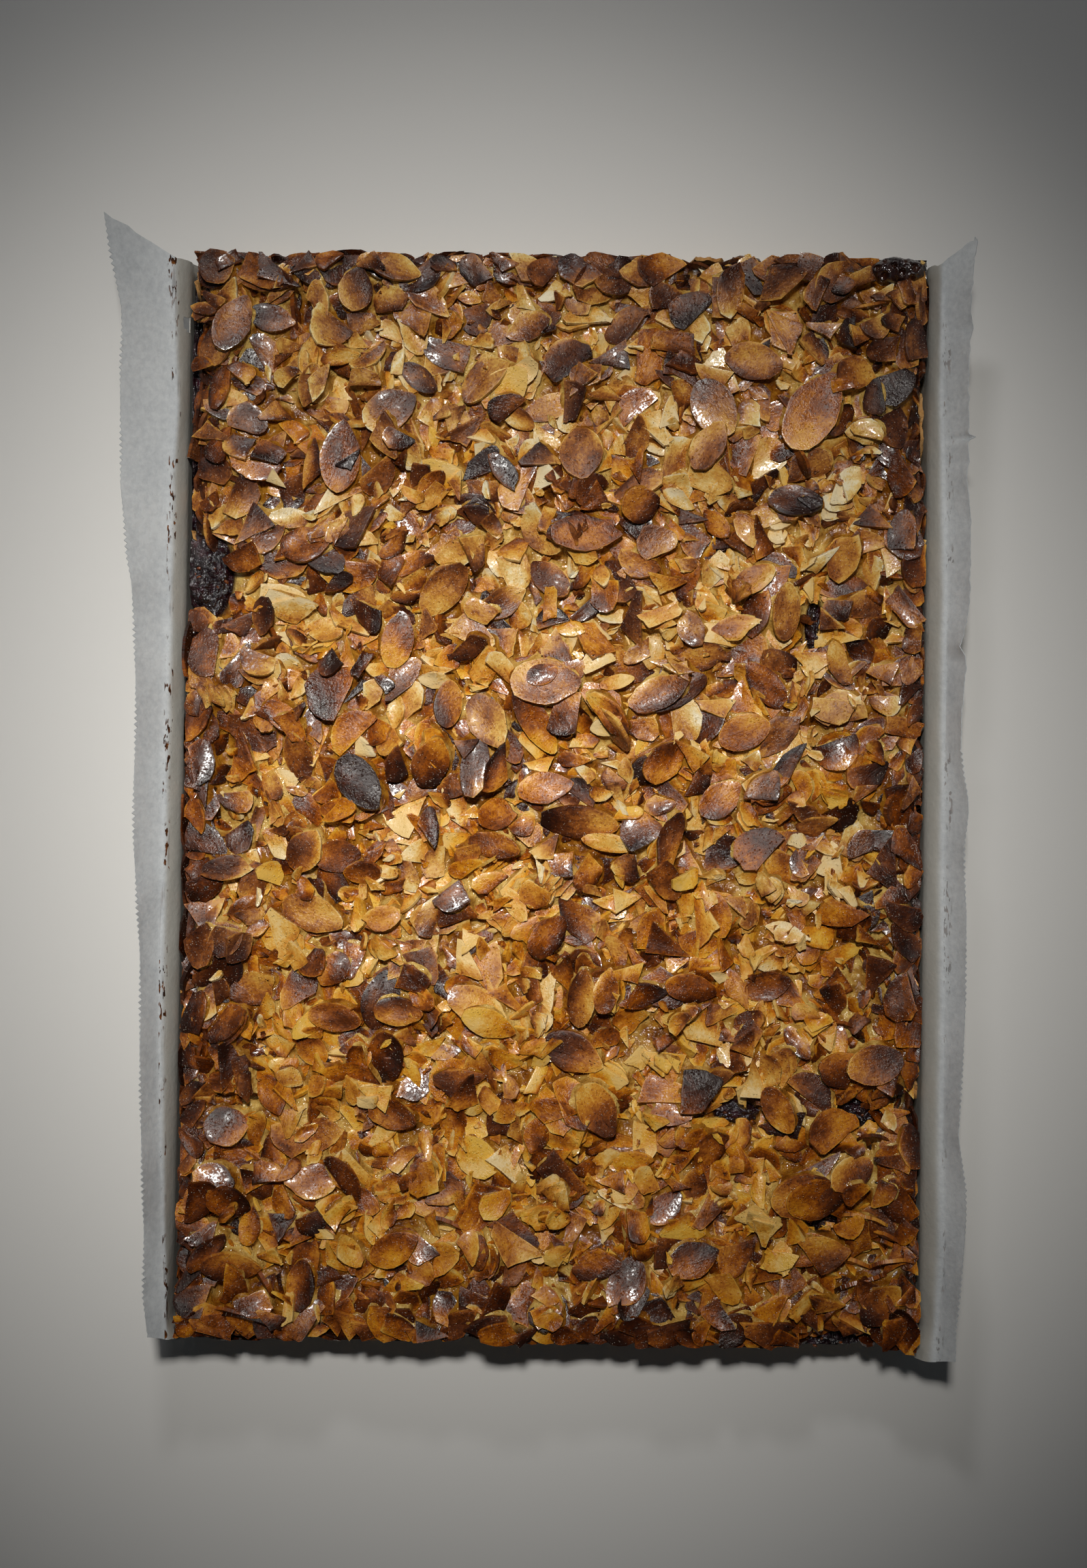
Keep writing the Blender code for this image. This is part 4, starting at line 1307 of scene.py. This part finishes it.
# %% Ring pieces
RING_POINTS = 1100


def ring_plan(turn, inset):
    """Point of the outline at a share of the way round, starting at the right."""
    half = (HALF_WIDTH, HALF_LENGTH)
    way = Vector((math.cos(turn) * half[0], math.sin(turn) * half[1]))
    run = max(abs(way.x) / half[0], abs(way.y) / half[1])
    return plan(way.x / half[0] / run, way.y / half[1] / run, inset)


def ring_piece(name, rows, finish, node, shape):
    """A solid whose side is rows of points round the slice, with flat caps."""
    bm = bmesh.new()
    bmesh.ops.create_circle(bm, cap_ends=True, segments=RING_POINTS, radius=1)
    lift_new(bm, bmesh.ops.extrude_face_region(bm, geom=bm.faces[:])["geom"], 1)
    for _ in range(2, rows):
        caps = [face for face in bm.faces if len(face.verts) > 4]
        top = max(caps, key=lambda face: face.calc_center_median().z)
        grown = bmesh.ops.extrude_discrete_faces(bm, faces=[top])["faces"]
        bmesh.ops.translate(bm, vec=(0, 0, 1), verts=grown[0].verts[:])
    for vert in bm.verts:
        turn = math.atan2(vert.co.y, vert.co.x)
        vert.co = shape(turn, round(vert.co.z), rows)
    bmesh.ops.recalc_face_normals(bm, faces=bm.faces)
    return new_piece(name, mesh_from(bm, name), finish, node, math.radians(70))


print("ring points are", in_mm([4 * (HALF_WIDTH + HALF_LENGTH) / RING_POINTS]), "mm apart")

# %% [markdown]
# ## Shortbread
# The base is pale shortbread, pressed in by hand, so its side is crumbly and its edge uneven. In a
# few places the dough climbed the tin past the jam, and shows from above as a pale lip.

# %% Shortbread
BASE_ROOF = 0.0103
BOTTOM_ROUND = 0.0010
LIP_ENDS = 2.6


def lip_height(place):
    """Top of the shortbread at a point of its outline: higher where it climbed the tin."""
    height = BASE_ROOF
    for side, stretches in CRUST_LIPS.items():
        for centre, width, roof in stretches:
            if side == "back":
                near, run = HALF_LENGTH - place.y < 0.004, place.x
            else:
                near = HALF_WIDTH - place.x * (-1 if side == "left" else 1) < 0.004
                run = place.y
            away = abs(run - centre) / (width / 2)
            if near and away < 1:
                rise = min(1.0, (1 - away) * LIP_ENDS) ** 0.7
                rise *= 0.93 + 0.14 * lumps((run, 0, roof), 0.0040, 19.0, 2)
                height = max(height, BASE_ROOF + (roof - BASE_ROOF) * rise)
    return height


def base_shape(turn, row, rows):
    edge = ring_plan(turn, 0.0)
    roof = lip_height(edge)
    last = rows - 1
    if row == last:
        inner = ring_plan(turn, LIP_THICKNESS + 0.0016)
        return inner.x, inner.y, BASE_ROOF
    height = BASE_LOW.z + (roof - BASE_LOW.z) * min(row, last - 2) / (last - 2)
    inset = tin_inset(height) + (BOTTOM_ROUND if row == 0 else 0.0)
    if row == last - 1:
        inset += LIP_THICKNESS * (0.55 + 0.25 * lumps((edge.x, edge.y, 0), 0.0021, 4.0, 2))
    rough = lumps((edge.x, edge.y, height), 0.0022, 11.0, 4)
    crumbly = 0.0014 if roof > BASE_ROOF + 0.001 else 0.0005
    height += crumbly * lumps((edge.x, edge.y, 0), 0.0016, 13.0, 4) if 0 < row else 0
    place = ring_plan(turn, inset + 0.0004 - 0.0006 * rough)
    return place.x, place.y, max(BASE_LOW.z, height)


def shortbread_finish():
    finish = Finish("shortbread", Roughness=0.85, IOR=1.45)
    place = finish.object_place()
    cloud = finish.noise(place, 160.0, 5.0, 0.65)
    grain = finish.noise(place, 900.0, 3.0, 0.6)
    height = finish.node("SeparateXYZ", (), {0: place}, 2)
    baked = (height * 60.0 + (cloud - 0.5) * 0.9).ramp(0.3, 1.5)
    pale = finish.stops(cloud + (grain - 0.5) * 0.35, (0.28, colour("A9783F")),
                        (0.45, colour("D3A967")), (0.62, colour("E6C88D")))
    finish.feed("Base Color", finish.blend(baked * 0.7, pale, colour("B5783A")))
    pores = finish.cells(place, 700.0).ramp(0.0, 0.30, 0.0, 1.0)
    finish.bump(cloud + 0.5 * grain + 0.3 * pores, 0.0006)
    return finish


ring_piece("shortbread_base", 18, shortbread_finish(), "base", base_shape)

# %% [markdown]
# ## Raspberry jam
# The jam is a dark, glossy band between shortbread and topping that bulges a little. Its colour is
# nearly black, since the layer is thick and cooked, and small bluish glints stand for the sky
# mirrored in its bubbles.

# %% Jam band
def jam_finish():
    finish = Finish("raspberry_jam", Roughness=0.20, IOR=1.95)
    place = finish.object_place()
    cloud = finish.noise(place, 240.0, 4.0, 0.6)
    skin = finish.stops(cloud, (0.30, colour("0E0508")), (0.52, colour("1C080E")),
                        (0.72, colour("42121E")))
    glint = finish.cells(place, 800.0).ramp(0.05, 0.26, 1.0, 0.0)
    glint = glint * finish.noise(place, 420.0, 2.0, 0.5).ramp(0.46, 0.60)
    finish.feed("Base Color", finish.blend(glint * 0.55, skin, colour("7E8494")))
    finish.bump(finish.noise(place, 800.0, 3.0, 0.6), 0.00100)
    return finish


JAM_HEIGHT = 0.003


def jam_shape(turn, row, rows):
    edge = ring_plan(turn, 0.0)
    share = row / (rows - 1)
    height = JAM_LOW.z + JAM_HEIGHT * share
    bulge = lumps((edge.x, edge.y, height * 0.5), 0.0045, 17.0, 3)
    round_edge = 0.0010 * abs(2 * share - 1) ** 3
    inset = tin_inset(height) + 0.0008 - 0.0009 * bulge + round_edge + behind_lip(edge)
    place = ring_plan(turn, inset)
    return place.x, place.y, height


JAM = jam_finish()
ring_piece("raspberry_jam", 8, JAM, "jam", jam_shape)

# %% [markdown]
# ## Jam at the open places
# Where the topping drew back, jam boiled up between the almonds. Each lump is a sphere stretched
# over its place, uneven in plan, and pushed out by the drupelets of the berries: cells that are
# highest in their middle.

# %% Jam lumps
SPOT_SINK = 0.0130
DRUPELET = 0.0014


def jam_lumps():
    """Lumps of jam at the open places, as one mesh."""
    bm = bmesh.new()
    for centre, half, roof in JAM_SPOTS.values():
        made = bmesh.ops.create_icosphere(bm, subdivisions=5, radius=1)["verts"]
        for vert in made:
            ball = vert.co.copy()
            wide = 1.10 + 0.30 * lumps((ball.x, ball.y, centre[0] * 900), 0.8, 6.0, 2)
            place = Vector((centre[0] + ball.x * half[0] * wide,
                            centre[1] + ball.y * half[1] * wide,
                            SPOT_SINK + max(0.0, ball.z) ** 0.5 * (roof - SPOT_SINK)))
            cell = noise.voronoi(place / DRUPELET)[0][0]
            push = 0.0030 * (0.45 - cell) + 0.0018 * lumps(place, 0.005, 5.0)
            vert.co = place + Vector((ball.x * 0.4, ball.y * 0.4, max(0.0, ball.z))) * push
    faces_down = [face for face in bm.faces if all(v.co.z <= SPOT_SINK for v in face.verts)]
    bmesh.ops.delete(bm, geom=faces_down, context="FACES")
    keep_in_box(bm, JAM_LOW, JAM_HIGH)
    return mesh_from(bm, "jam_lumps")


new_piece("jam_lumps", jam_lumps(), JAM, "jam", ROUNDED)

# %% [markdown]
# ## Raspberry seeds
# Seeds are the only pale thing in the jam, so even a few tell the eye what it is. They are small
# stretched spheres, turned at random and half sunk in the lumps.

# %% Raspberry seeds
def seed_finish():
    finish = Finish("raspberry_seed", Roughness=0.3)
    cloud = finish.noise(finish.object_place(), 300.0, 2.0)
    husk = finish.stops(cloud, (0.3, colour("43200F")), (0.7, colour("8A4A22")))
    finish.feed("Base Color", husk)
    finish.bump(finish.noise(finish.object_place(), 1500.0, 2.0), 0.0002)
    return finish


SEED_HALF_SIZES = (0.00075, 0.00048, 0.00042)
OPEN_SPOTS = list(JAM_SPOTS.values())[:4]


def seeds(seed, count):
    draw = random.Random(seed)
    bm = bmesh.new()
    for _ in range(count):
        centre, half, roof = draw.choice(OPEN_SPOTS)
        way, out = draw.uniform(0, 2 * math.pi), math.sqrt(draw.random()) * 0.9
        turn = draw.uniform(0, 6.28)
        lean = Matrix.Rotation(turn, 4, Vector((draw.gauss(0, 1), draw.gauss(0, 1), 1)))
        place = (centre[0] + math.cos(way) * half[0] * out,
                 centre[1] + math.sin(way) * half[1] * out,
                 SPOT_SINK + (1 - out ** 2) ** 0.3 * (roof - SPOT_SINK) - 0.0001)
        made = bmesh.ops.create_uvsphere(bm, u_segments=8, v_segments=6, radius=1)["verts"]
        size = Matrix.Diagonal((*SEED_HALF_SIZES, 1)) * draw.uniform(0.75, 1.1)
        size[3][3] = 1
        bmesh.ops.transform(bm, matrix=Matrix.Translation(place) @ lean @ size, verts=made)
    return mesh_from(bm, "seeds")


new_piece("raspberry_seeds", seeds(81, 34), seed_finish(), "jam")

# %% [markdown]
# ## Burnt sugar
# In the back right corner the syrup boiled over the jam, and set as a dark, glossy crust with
# craters where bubbles burst. The crust is a grid pulled up into a lumpy mound. Each crater is a
# hollow with a raised rim, and the border is extruded down into the topping.

# %% Burnt crust
CRUST_HEIGHT = 0.0268
CRUST_FOOT = 0.0190
CRUST_CELLS = (84, 44)
CRUST_SKIRT = 0.0015
CRATER_DEPTH = 0.0020
CRATER_RIM = 0.0005
CRATERS = (
    (0.50, 0.10, 0.0013), (0.20, 0.62, 0.0010), (0.86, -0.12, 0.0007), (0.05, -0.30, 0.0010),
    (-0.45, 0.55, 0.0009), (-0.70, 0.10, 0.0008), (-0.20, 0.20, 0.0008), (0.40, -0.62, 0.0009),
    (0.78, 0.52, 0.0006), (-0.50, -0.45, 0.0010),
)


def burnt_finish():
    finish = Finish("burnt_sugar", Roughness=0.20, IOR=1.9)
    place = finish.object_place()
    cloud = finish.noise(place, 380.0, 3.0)
    crater = finish.attribute("crater")
    # The palest, grey-mauve stop of the skin is a painted sheen of the glossy sugar; the darker
    # stops are its own colour.
    skin = finish.stops(cloud, (0.35, colour("150B0B")), (0.60, colour("38221F")),
                        (0.75, colour("6A5654")))
    finish.feed("Base Color", finish.blend(crater, skin, colour("3A1A0B")))
    finish.bump(cloud + finish.noise(place, 1500.0, 2.0) * 0.3, 0.0004)
    return finish


def crust_height(u, v, place):
    """Height of the crust, and how deep in a crater a point is."""
    ragged = 1.0 + 0.35 * lumps((place[0], place[1], 0), 0.0035, 8.0, 3)
    dome = max(0.0, 1 - (u * u + v * v) / ragged)
    height = CRUST_FOOT + (CRUST_HEIGHT - CRUST_FOOT) * dome ** 0.35
    height += 0.0009 * lumps((place[0], place[1], 0), 0.0022, 15.0, 3) * dome
    deepest = 0.0
    for along, across, radius in CRATERS:
        away = math.hypot((u - along) * CRUST_REACH[0], (v - across) * CRUST_REACH[1]) / radius
        height += CRATER_RIM * math.exp(-((away - 1.25) / 0.35) ** 2) * dome
        hollow = max(0.0, 1 - away ** 4)
        height -= CRATER_DEPTH * hollow * dome
        deepest = max(deepest, hollow)
    return height, deepest


def burnt_crust():
    bm = closed_grid(*CRUST_CELLS, 1)
    crater = bm.verts.layers.float.new("crater")
    for vert in bm.verts:
        u, v, row = vert.co
        place = (CRUST_AT[0] + u * CRUST_REACH[0], CRUST_AT[1] + v * CRUST_REACH[1])
        height, hollow = crust_height(u, v, place)
        vert[crater] = hollow
        vert.co = (*place, height - CRUST_SKIRT if row < 0 else height)
    bmesh.ops.recalc_face_normals(bm, faces=bm.faces)
    return mesh_from(bm, "burnt_crust")


new_piece("burnt_crust", burnt_crust(), burnt_finish(), "topping", ROUNDED)

# %% [markdown]
# ## Where the paper goes
# The strip lies under the slice, stands up along both long sides, and flares outwards above the
# tin's edge. Its lines are lists of points in millimetres along the slice: where it creases,
# where its rim is and how high, and where its ends are from one side to the other.

# %% Lines of the paper
PAPER_THICKNESS = 0.00025
CREASE_HEIGHT = 0.0275
BEND_HEIGHT = 0.0215
BEND_RUN = 0.6
WALL_LEAN = 0.0003
FOLD_MARGIN = 0.0009
LEFT_CREASE = ((-149, -103.6), (-135, -103.8), (-120, -104.7), (-89, -105.8), (-61, -106.4),
               (2, -105.9), (49, -105.4), (86, -105.3), (104, -103.9), (137, -105.4), (149, -106.0))
RIGHT_CREASE = ((-149, 105.8), (-123, 107.4), (-98, 106.9), (-59, 106.8), (4, 106.2), (33, 106.3),
                (70, 105.9), (86, 105.3), (114, 104.3), (138, 104.3), (149, 104.6))
LEFT_RIM = ((-149, -106.9), (-146.4, -107.6), (-136, -108.9), (-117.5, -108.9), (-98.8, -109.6),
            (-80, -110.3), (-61.5, -110.5), (-42.8, -110.9), (-26.4, -111.9), (-12.4, -112.8),
            (1.6, -112.9), (20.3, -112.5), (31.5, -112.6), (45.4, -113.3), (56.6, -113.9),
            (64.1, -115.4), (73.4, -116.0), (82.7, -117.0), (102.4, -117.3), (113.9, -117.3),
            (123.3, -117.0), (130, -117.1), (138.3, -118.7), (145.4, -120.1), (155.1, -121.4))
RIGHT_RIM = ((-150.7, 110.1), (-142.1, 110.2), (-129.8, 111.2), (-117.6, 112.2), (-109.4, 112.4),
             (-103.7, 112.2), (-89, 110.1), (-72.7, 110.9), (-52.2, 111.6), (-39.6, 111.5),
             (-29, 111.4), (-20.9, 111.0), (-11.4, 110.7), (-2.5, 111.6), (1.2, 111.5),
             (8.5, 110.3), (15.9, 109.5), (24, 109.5), (38.9, 110.6), (42.3, 108.9), (49, 110.5),
             (55.7, 111.2), (77.6, 111.1), (89.3, 109.8), (91.9, 110.6), (97.7, 110.0),
             (98.6, 112.3), (99.6, 110.4), (106.1, 110.1), (114.5, 109.9), (124.6, 110.2),
             (128, 111.1), (131.3, 110.3), (137.2, 110.4), (144, 110.9), (151.5, 111.9),
             (152.8, 111.0))
LEFT_RIM_HEIGHT = ((-149, 32.5), (-60, 33.5), (50, 35.0), (130, 37.5), (155, 41.8))
RIGHT_RIM_HEIGHT = ((-150, 33.5), (0, 33.5), (152, 35.5))
SIDE_LINES = {-1: (LEFT_CREASE, LEFT_RIM, LEFT_RIM_HEIGHT),
              1: (RIGHT_CREASE, RIGHT_RIM, RIGHT_RIM_HEIGHT)}
FRONT_ENDS = ((0, -146.5), (0.12, -148.5), (0.2, -151.5), (0.5, -152.3), (0.8, -152.3),
              (0.88, -152.0), (1, -150.0))
BACK_ENDS = ((0, 154.3), (0.10, 146.6), (0.13, 145.6), (0.2, 148.5), (0.5, 151.3), (0.8, 148.5),
             (0.88, 146.5), (1, 152.4))
FLAP_CELLS = 9
WALL_CELLS = 15
FLOOR_CELLS = 10
PAPER_ROWS = 366
TOOTH = 0.00050
TOOTH_PITCH = 0.0017
TORN_FROM = 0.015
TEAR = (0.1262, 0.1308)
TEAR_TIP = -0.1018


def read(points, place):
    """Read a value between the named places of a line."""
    return float(np.interp(place, [point[0] for point in points], [point[1] for point in points]))


print("flaps halfway along, in mm", read(LEFT_RIM, 0), read(RIGHT_RIM, 0))

# %% [markdown]
# ## The paper's sheet
# The left edge was cut on the serrated blade of the box, and so was the front of the right edge,
# while the rest was torn. Cloth simulation could drape a sheet, but the paper is stiff and its
# folds are known, so a fine grid is moved into its form. Then it is given its thickness.

# %% Paper mesh
def paper_point(side, y, run):
    """Point of one half of the paper: run goes from 0 at the fold over 1 at the crease to 2."""
    v = max(-1.0, min(1.0, y / HALF_LENGTH))
    fold = max(abs(plan(side, v).x), HALF_WIDTH - 0.0009) + FOLD_MARGIN
    crease, rim, rim_height = (read(line, y / MM) * MM for line in SIDE_LINES[side])
    crease_height = CREASE_HEIGHT + 0.0008 * lumps((crease, y, 0), 0.03, 4.0)
    bend = side * (fold + WALL_LEAN)
    if run <= BEND_RUN:
        share = run / BEND_RUN
        return side * fold + (bend - side * fold) * share, BEND_HEIGHT * share
    if run <= 1:
        share = (run - BEND_RUN) / (1 - BEND_RUN)
        ripple = 0.0003 * lumps((run * 0.02, y, 0), 0.012, 9.0, 2) * math.sin(math.pi * share)
        height = BEND_HEIGHT + (crease_height - BEND_HEIGHT) * (1 - (1 - share) ** 1.8)
        return bend + (crease - bend) * share + side * ripple, height
    share = run - 1
    if side < 0 or y < TORN_FROM:
        tooth = TOOTH * (4 * abs((y / TOOTH_PITCH) % 1 - 0.5) - 1)
    else:
        tooth = TOOTH * lumps((y, 0, 0), 0.0022, 3.0, 3)
    rim += side * tooth * share ** 6 * (1 if side < 0 else 0.7)
    wave = 0.0007 * lumps((share * 0.01, y, 0), 0.016, 6.0, 2) * share
    wave += 0.0008 * lumps((rim, y, 0), 0.017, 5.0) * share
    height = crease_height + (rim_height - crease_height) * share ** 1.25
    return crease + (rim - crease) * share, height + wave


def paper_columns():
    """Side and run of each column of the grid, from the left rim to the right rim."""
    flap = [1 + (FLAP_CELLS - step) / FLAP_CELLS for step in range(FLAP_CELLS)]
    wall = [(WALL_CELLS - step) / WALL_CELLS for step in range(WALL_CELLS)]
    half = flap + wall + [0.0]
    floor = [(0, 2 * step / FLOOR_CELLS - 1) for step in range(1, FLOOR_CELLS)]
    return [(-1, run) for run in half] + floor + [(1, run) for run in half[::-1]]


def in_tear(place):
    """Whether a place is in the small leaf-shaped tear near the back of the left wall."""
    share = (place.y - TEAR[0]) / (TEAR[1] - TEAR[0])
    if place.x > 0 or place.z < BEND_HEIGHT or not 0 < share < 1:
        return False
    return place.x > TEAR_TIP + 0.0008 * (1 - share) - 0.0016 * math.sin(math.pi * share)


def paper_mesh():
    columns = paper_columns()
    last = len(columns) - 1
    bm = bmesh.new()
    bmesh.ops.create_grid(bm, x_segments=last, y_segments=PAPER_ROWS, size=1.0)
    flap = bm.verts.layers.float.new("run")
    for vert in bm.verts:
        across, share = (vert.co.x + 1) / 2, (vert.co.y + 1) / 2
        side, run = columns[round(across * last)]
        across = 0.5 + side * (0.30 + 0.1 * run) if side else across
        front, back = read(FRONT_ENDS, across) * MM, read(BACK_ENDS, across) * MM
        y = front + (back - front) * share
        frayed = 0.0006 * lumps((across * 0.2, 0, share), 0.004, 2.0, 3)
        y += frayed * (1 if share > 0.999 else 0)
        if side == 0:
            x, z = run * (HALF_WIDTH + FOLD_MARGIN), 0.0
        else:
            x, z = paper_point(side, y, run)
        vert.co = (x, y, z)
        vert[flap] = run if side else -1.0
    torn = [face for face in bm.faces if in_tear(face.calc_center_median())]
    bmesh.ops.delete(bm, geom=torn, context="FACES")
    bmesh.ops.recalc_face_normals(bm, faces=bm.faces)
    centre = max(bm.faces, key=lambda face: face.calc_area())
    if centre.normal.z < 0:
        bmesh.ops.reverse_faces(bm, faces=bm.faces)
    bmesh.ops.solidify(bm, geom=bm.faces[:], thickness=-PAPER_THICKNESS)
    low = min(vert.co.z for vert in bm.verts)
    bmesh.ops.translate(bm, vec=(0, 0, -low), verts=bm.verts)
    keep_in_box(bm, PAPER_LOW, PAPER_HIGH)
    return mesh_from(bm, "baking_paper")


PAPER = paper_mesh()
print("faces of the paper", len(PAPER.polygons))

# %% [markdown]
# ## Finish of the paper
# Baking paper is grey-white and faintly cloudy, with short fibres. Syrup that crept up the wall
# burnt in rows of brown drops along the left crease, and left only a few on the right. The drops
# are noise stretched along the paper and cut off at a high value, which gives each its own shape.

# %% Paper finish
def dashes(finish, place, scale, spread):
    """Short drops in random places, longer along Y: 1 in a drop, 0 between them."""
    long = finish.stretched(place, (1.0, 0.26, 0.4))
    drop = finish.noise(long, scale, 2.0, 0.5).ramp(spread, spread + 0.03)
    return drop * finish.noise(long, scale * 0.12, 2.0, 0.6).ramp(0.47, 0.55)


def paper_finish():
    finish = Finish("baking_paper", Roughness=0.55, IOR=1.45)
    place = finish.object_place()
    run = finish.attribute("run")
    fibre = finish.noise(place, 620.0, 4.0, 0.65)
    cloud = finish.noise(place, 45.0, 3.0, 0.5)
    sheet = finish.stops(cloud * 0.45 + fibre * 0.55, (0.32, colour("BFC3C6")),
                         (0.62, colour("DCDFE0")))
    wall = run.ramp(0.80, 0.98, 1.0, 0.0) * run.ramp(-0.5, 0.1)
    # The wall between the fold and the crease is mixed towards a darker, warmer beige.
    sheet_darker_on_wall = finish.blend(wall * 0.7, sheet, colour("BDB7A8"))
    across = finish.node("SeparateXYZ", (), {0: place}, 0)
    left = across.ramp(-0.01, 0.01, 1.0, 0.0)
    rows = run.ramp(0.80, 0.86) * run.ramp(1.02, 1.10, 1.0, 0.0) * left
    sparse = run.ramp(0.95, 1.02) * run.ramp(1.30, 1.60, 1.0, 0.0) * (1 - left)
    fine = dashes(finish, place, 1500.0, 0.565)
    coarse = dashes(finish, place, 620.0, 0.62)
    mark = fine.maths("MAXIMUM", fine, coarse * left)
    streaks = finish.noise(finish.stretched(place, (1.0, 0.08, 1.0)), 700.0, 1.0)
    faint = streaks.ramp(0.60, 0.72) * rows * 0.35
    tone = finish.noise(place, 700.0, 2.0)
    stain = finish.stops(tone, (0.35, colour("2E1A12")), (0.55, colour("5A3418")),
                         (0.70, colour("8A5220")))
    shade = mark * (rows + sparse * 0.50).ramp(0.25, 0.75)
    finish.feed("Base Color", finish.blend(shade.maths("MAXIMUM", shade, faint), sheet_darker_on_wall, stain))
    finish.feed("Roughness", 0.55 - 0.25 * shade)
    finish.bump(fibre + cloud * 0.8, 0.00014)
    return finish


new_piece("baking_paper", PAPER, paper_finish(), "paper", math.radians(60))

# %% [markdown]
# ## Floor
# The slice lies on a plain pale floor, so that nothing distracts from it.

# %% Floor
FLOOR_HALF = 3.0


def floor_finish():
    finish = Finish("pale_floor", Roughness=0.7)
    cloud = finish.noise(finish.object_place(), 3.0, 3.0)
    pale = finish.stops(cloud, (0.3, colour("EDEBE7")), (0.7, colour("F1EFEB")))
    finish.feed("Base Color", pale)
    return finish


def make_floor():
    bm = bmesh.new()
    bmesh.ops.create_grid(bm, x_segments=1, y_segments=1, size=FLOOR_HALF)
    mesh = mesh_from(bm, "floor")
    mesh.materials.append(floor_finish().material)
    floor = add_object("floor", mesh)
    floor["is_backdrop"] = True
    return floor


print("floor in m", make_floor().dimensions[:2])

# %% [markdown]
# ## Light
# A soft light stands behind the slice like a window, and rakes over the almonds, so that they cast
# shadows towards the viewer. A second, smaller one hangs above. It makes the glaze shine in the
# middle and leaves the edges darker.

# %% Light
SKY = (0.80, 0.90, 1.0, 1.0)
SKY_STRENGTH = 0.018


def soft_light(name, place, aim, size, power, tint, spread=180):
    data = bpy.data.lights.new(name, "AREA")
    data.shape = "RECTANGLE"
    data.size, data.size_y = size
    data.energy = power
    data.color = tint
    data.spread = math.radians(spread)
    light = add_object(name, data)
    light.location = place
    light.rotation_euler = (Vector(aim) - Vector(place)).to_track_quat("-Z", "Y").to_euler()


def make_world():
    world = bpy.data.worlds.new("studio")
    world.use_nodes = True
    back = world.node_tree.nodes["Background"]
    back.inputs["Color"].default_value = SKY
    back.inputs["Strength"].default_value = SKY_STRENGTH
    bpy.context.scene.world = world


make_world()
soft_light("window", place=(-0.1, 0.60, 0.60), aim=(0, 0, 0), size=(0.11, 0.08), power=0.64,
           tint=(0.97, 0.98, 1.0))
soft_light("overhead", place=(-0.03, 0.28, 0.92), aim=(-0.028, -0.002, 0), size=(0.08, 0.08),
           power=0.225, tint=(1.0, 0.98, 0.94), spread=31)
bpy.context.scene.view_settings.view_transform = "Standard"
print("lights", [light.name for light in bpy.data.objects if light.type == "LIGHT"])

# %% [markdown]
# ## Sizes for the record
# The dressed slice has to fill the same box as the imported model. Both boxes are written down, so
# that they can be compared after each render.

# %% Sizes of both boxes
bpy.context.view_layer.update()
print("visual box in mm", [in_mm(corner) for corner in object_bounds()])
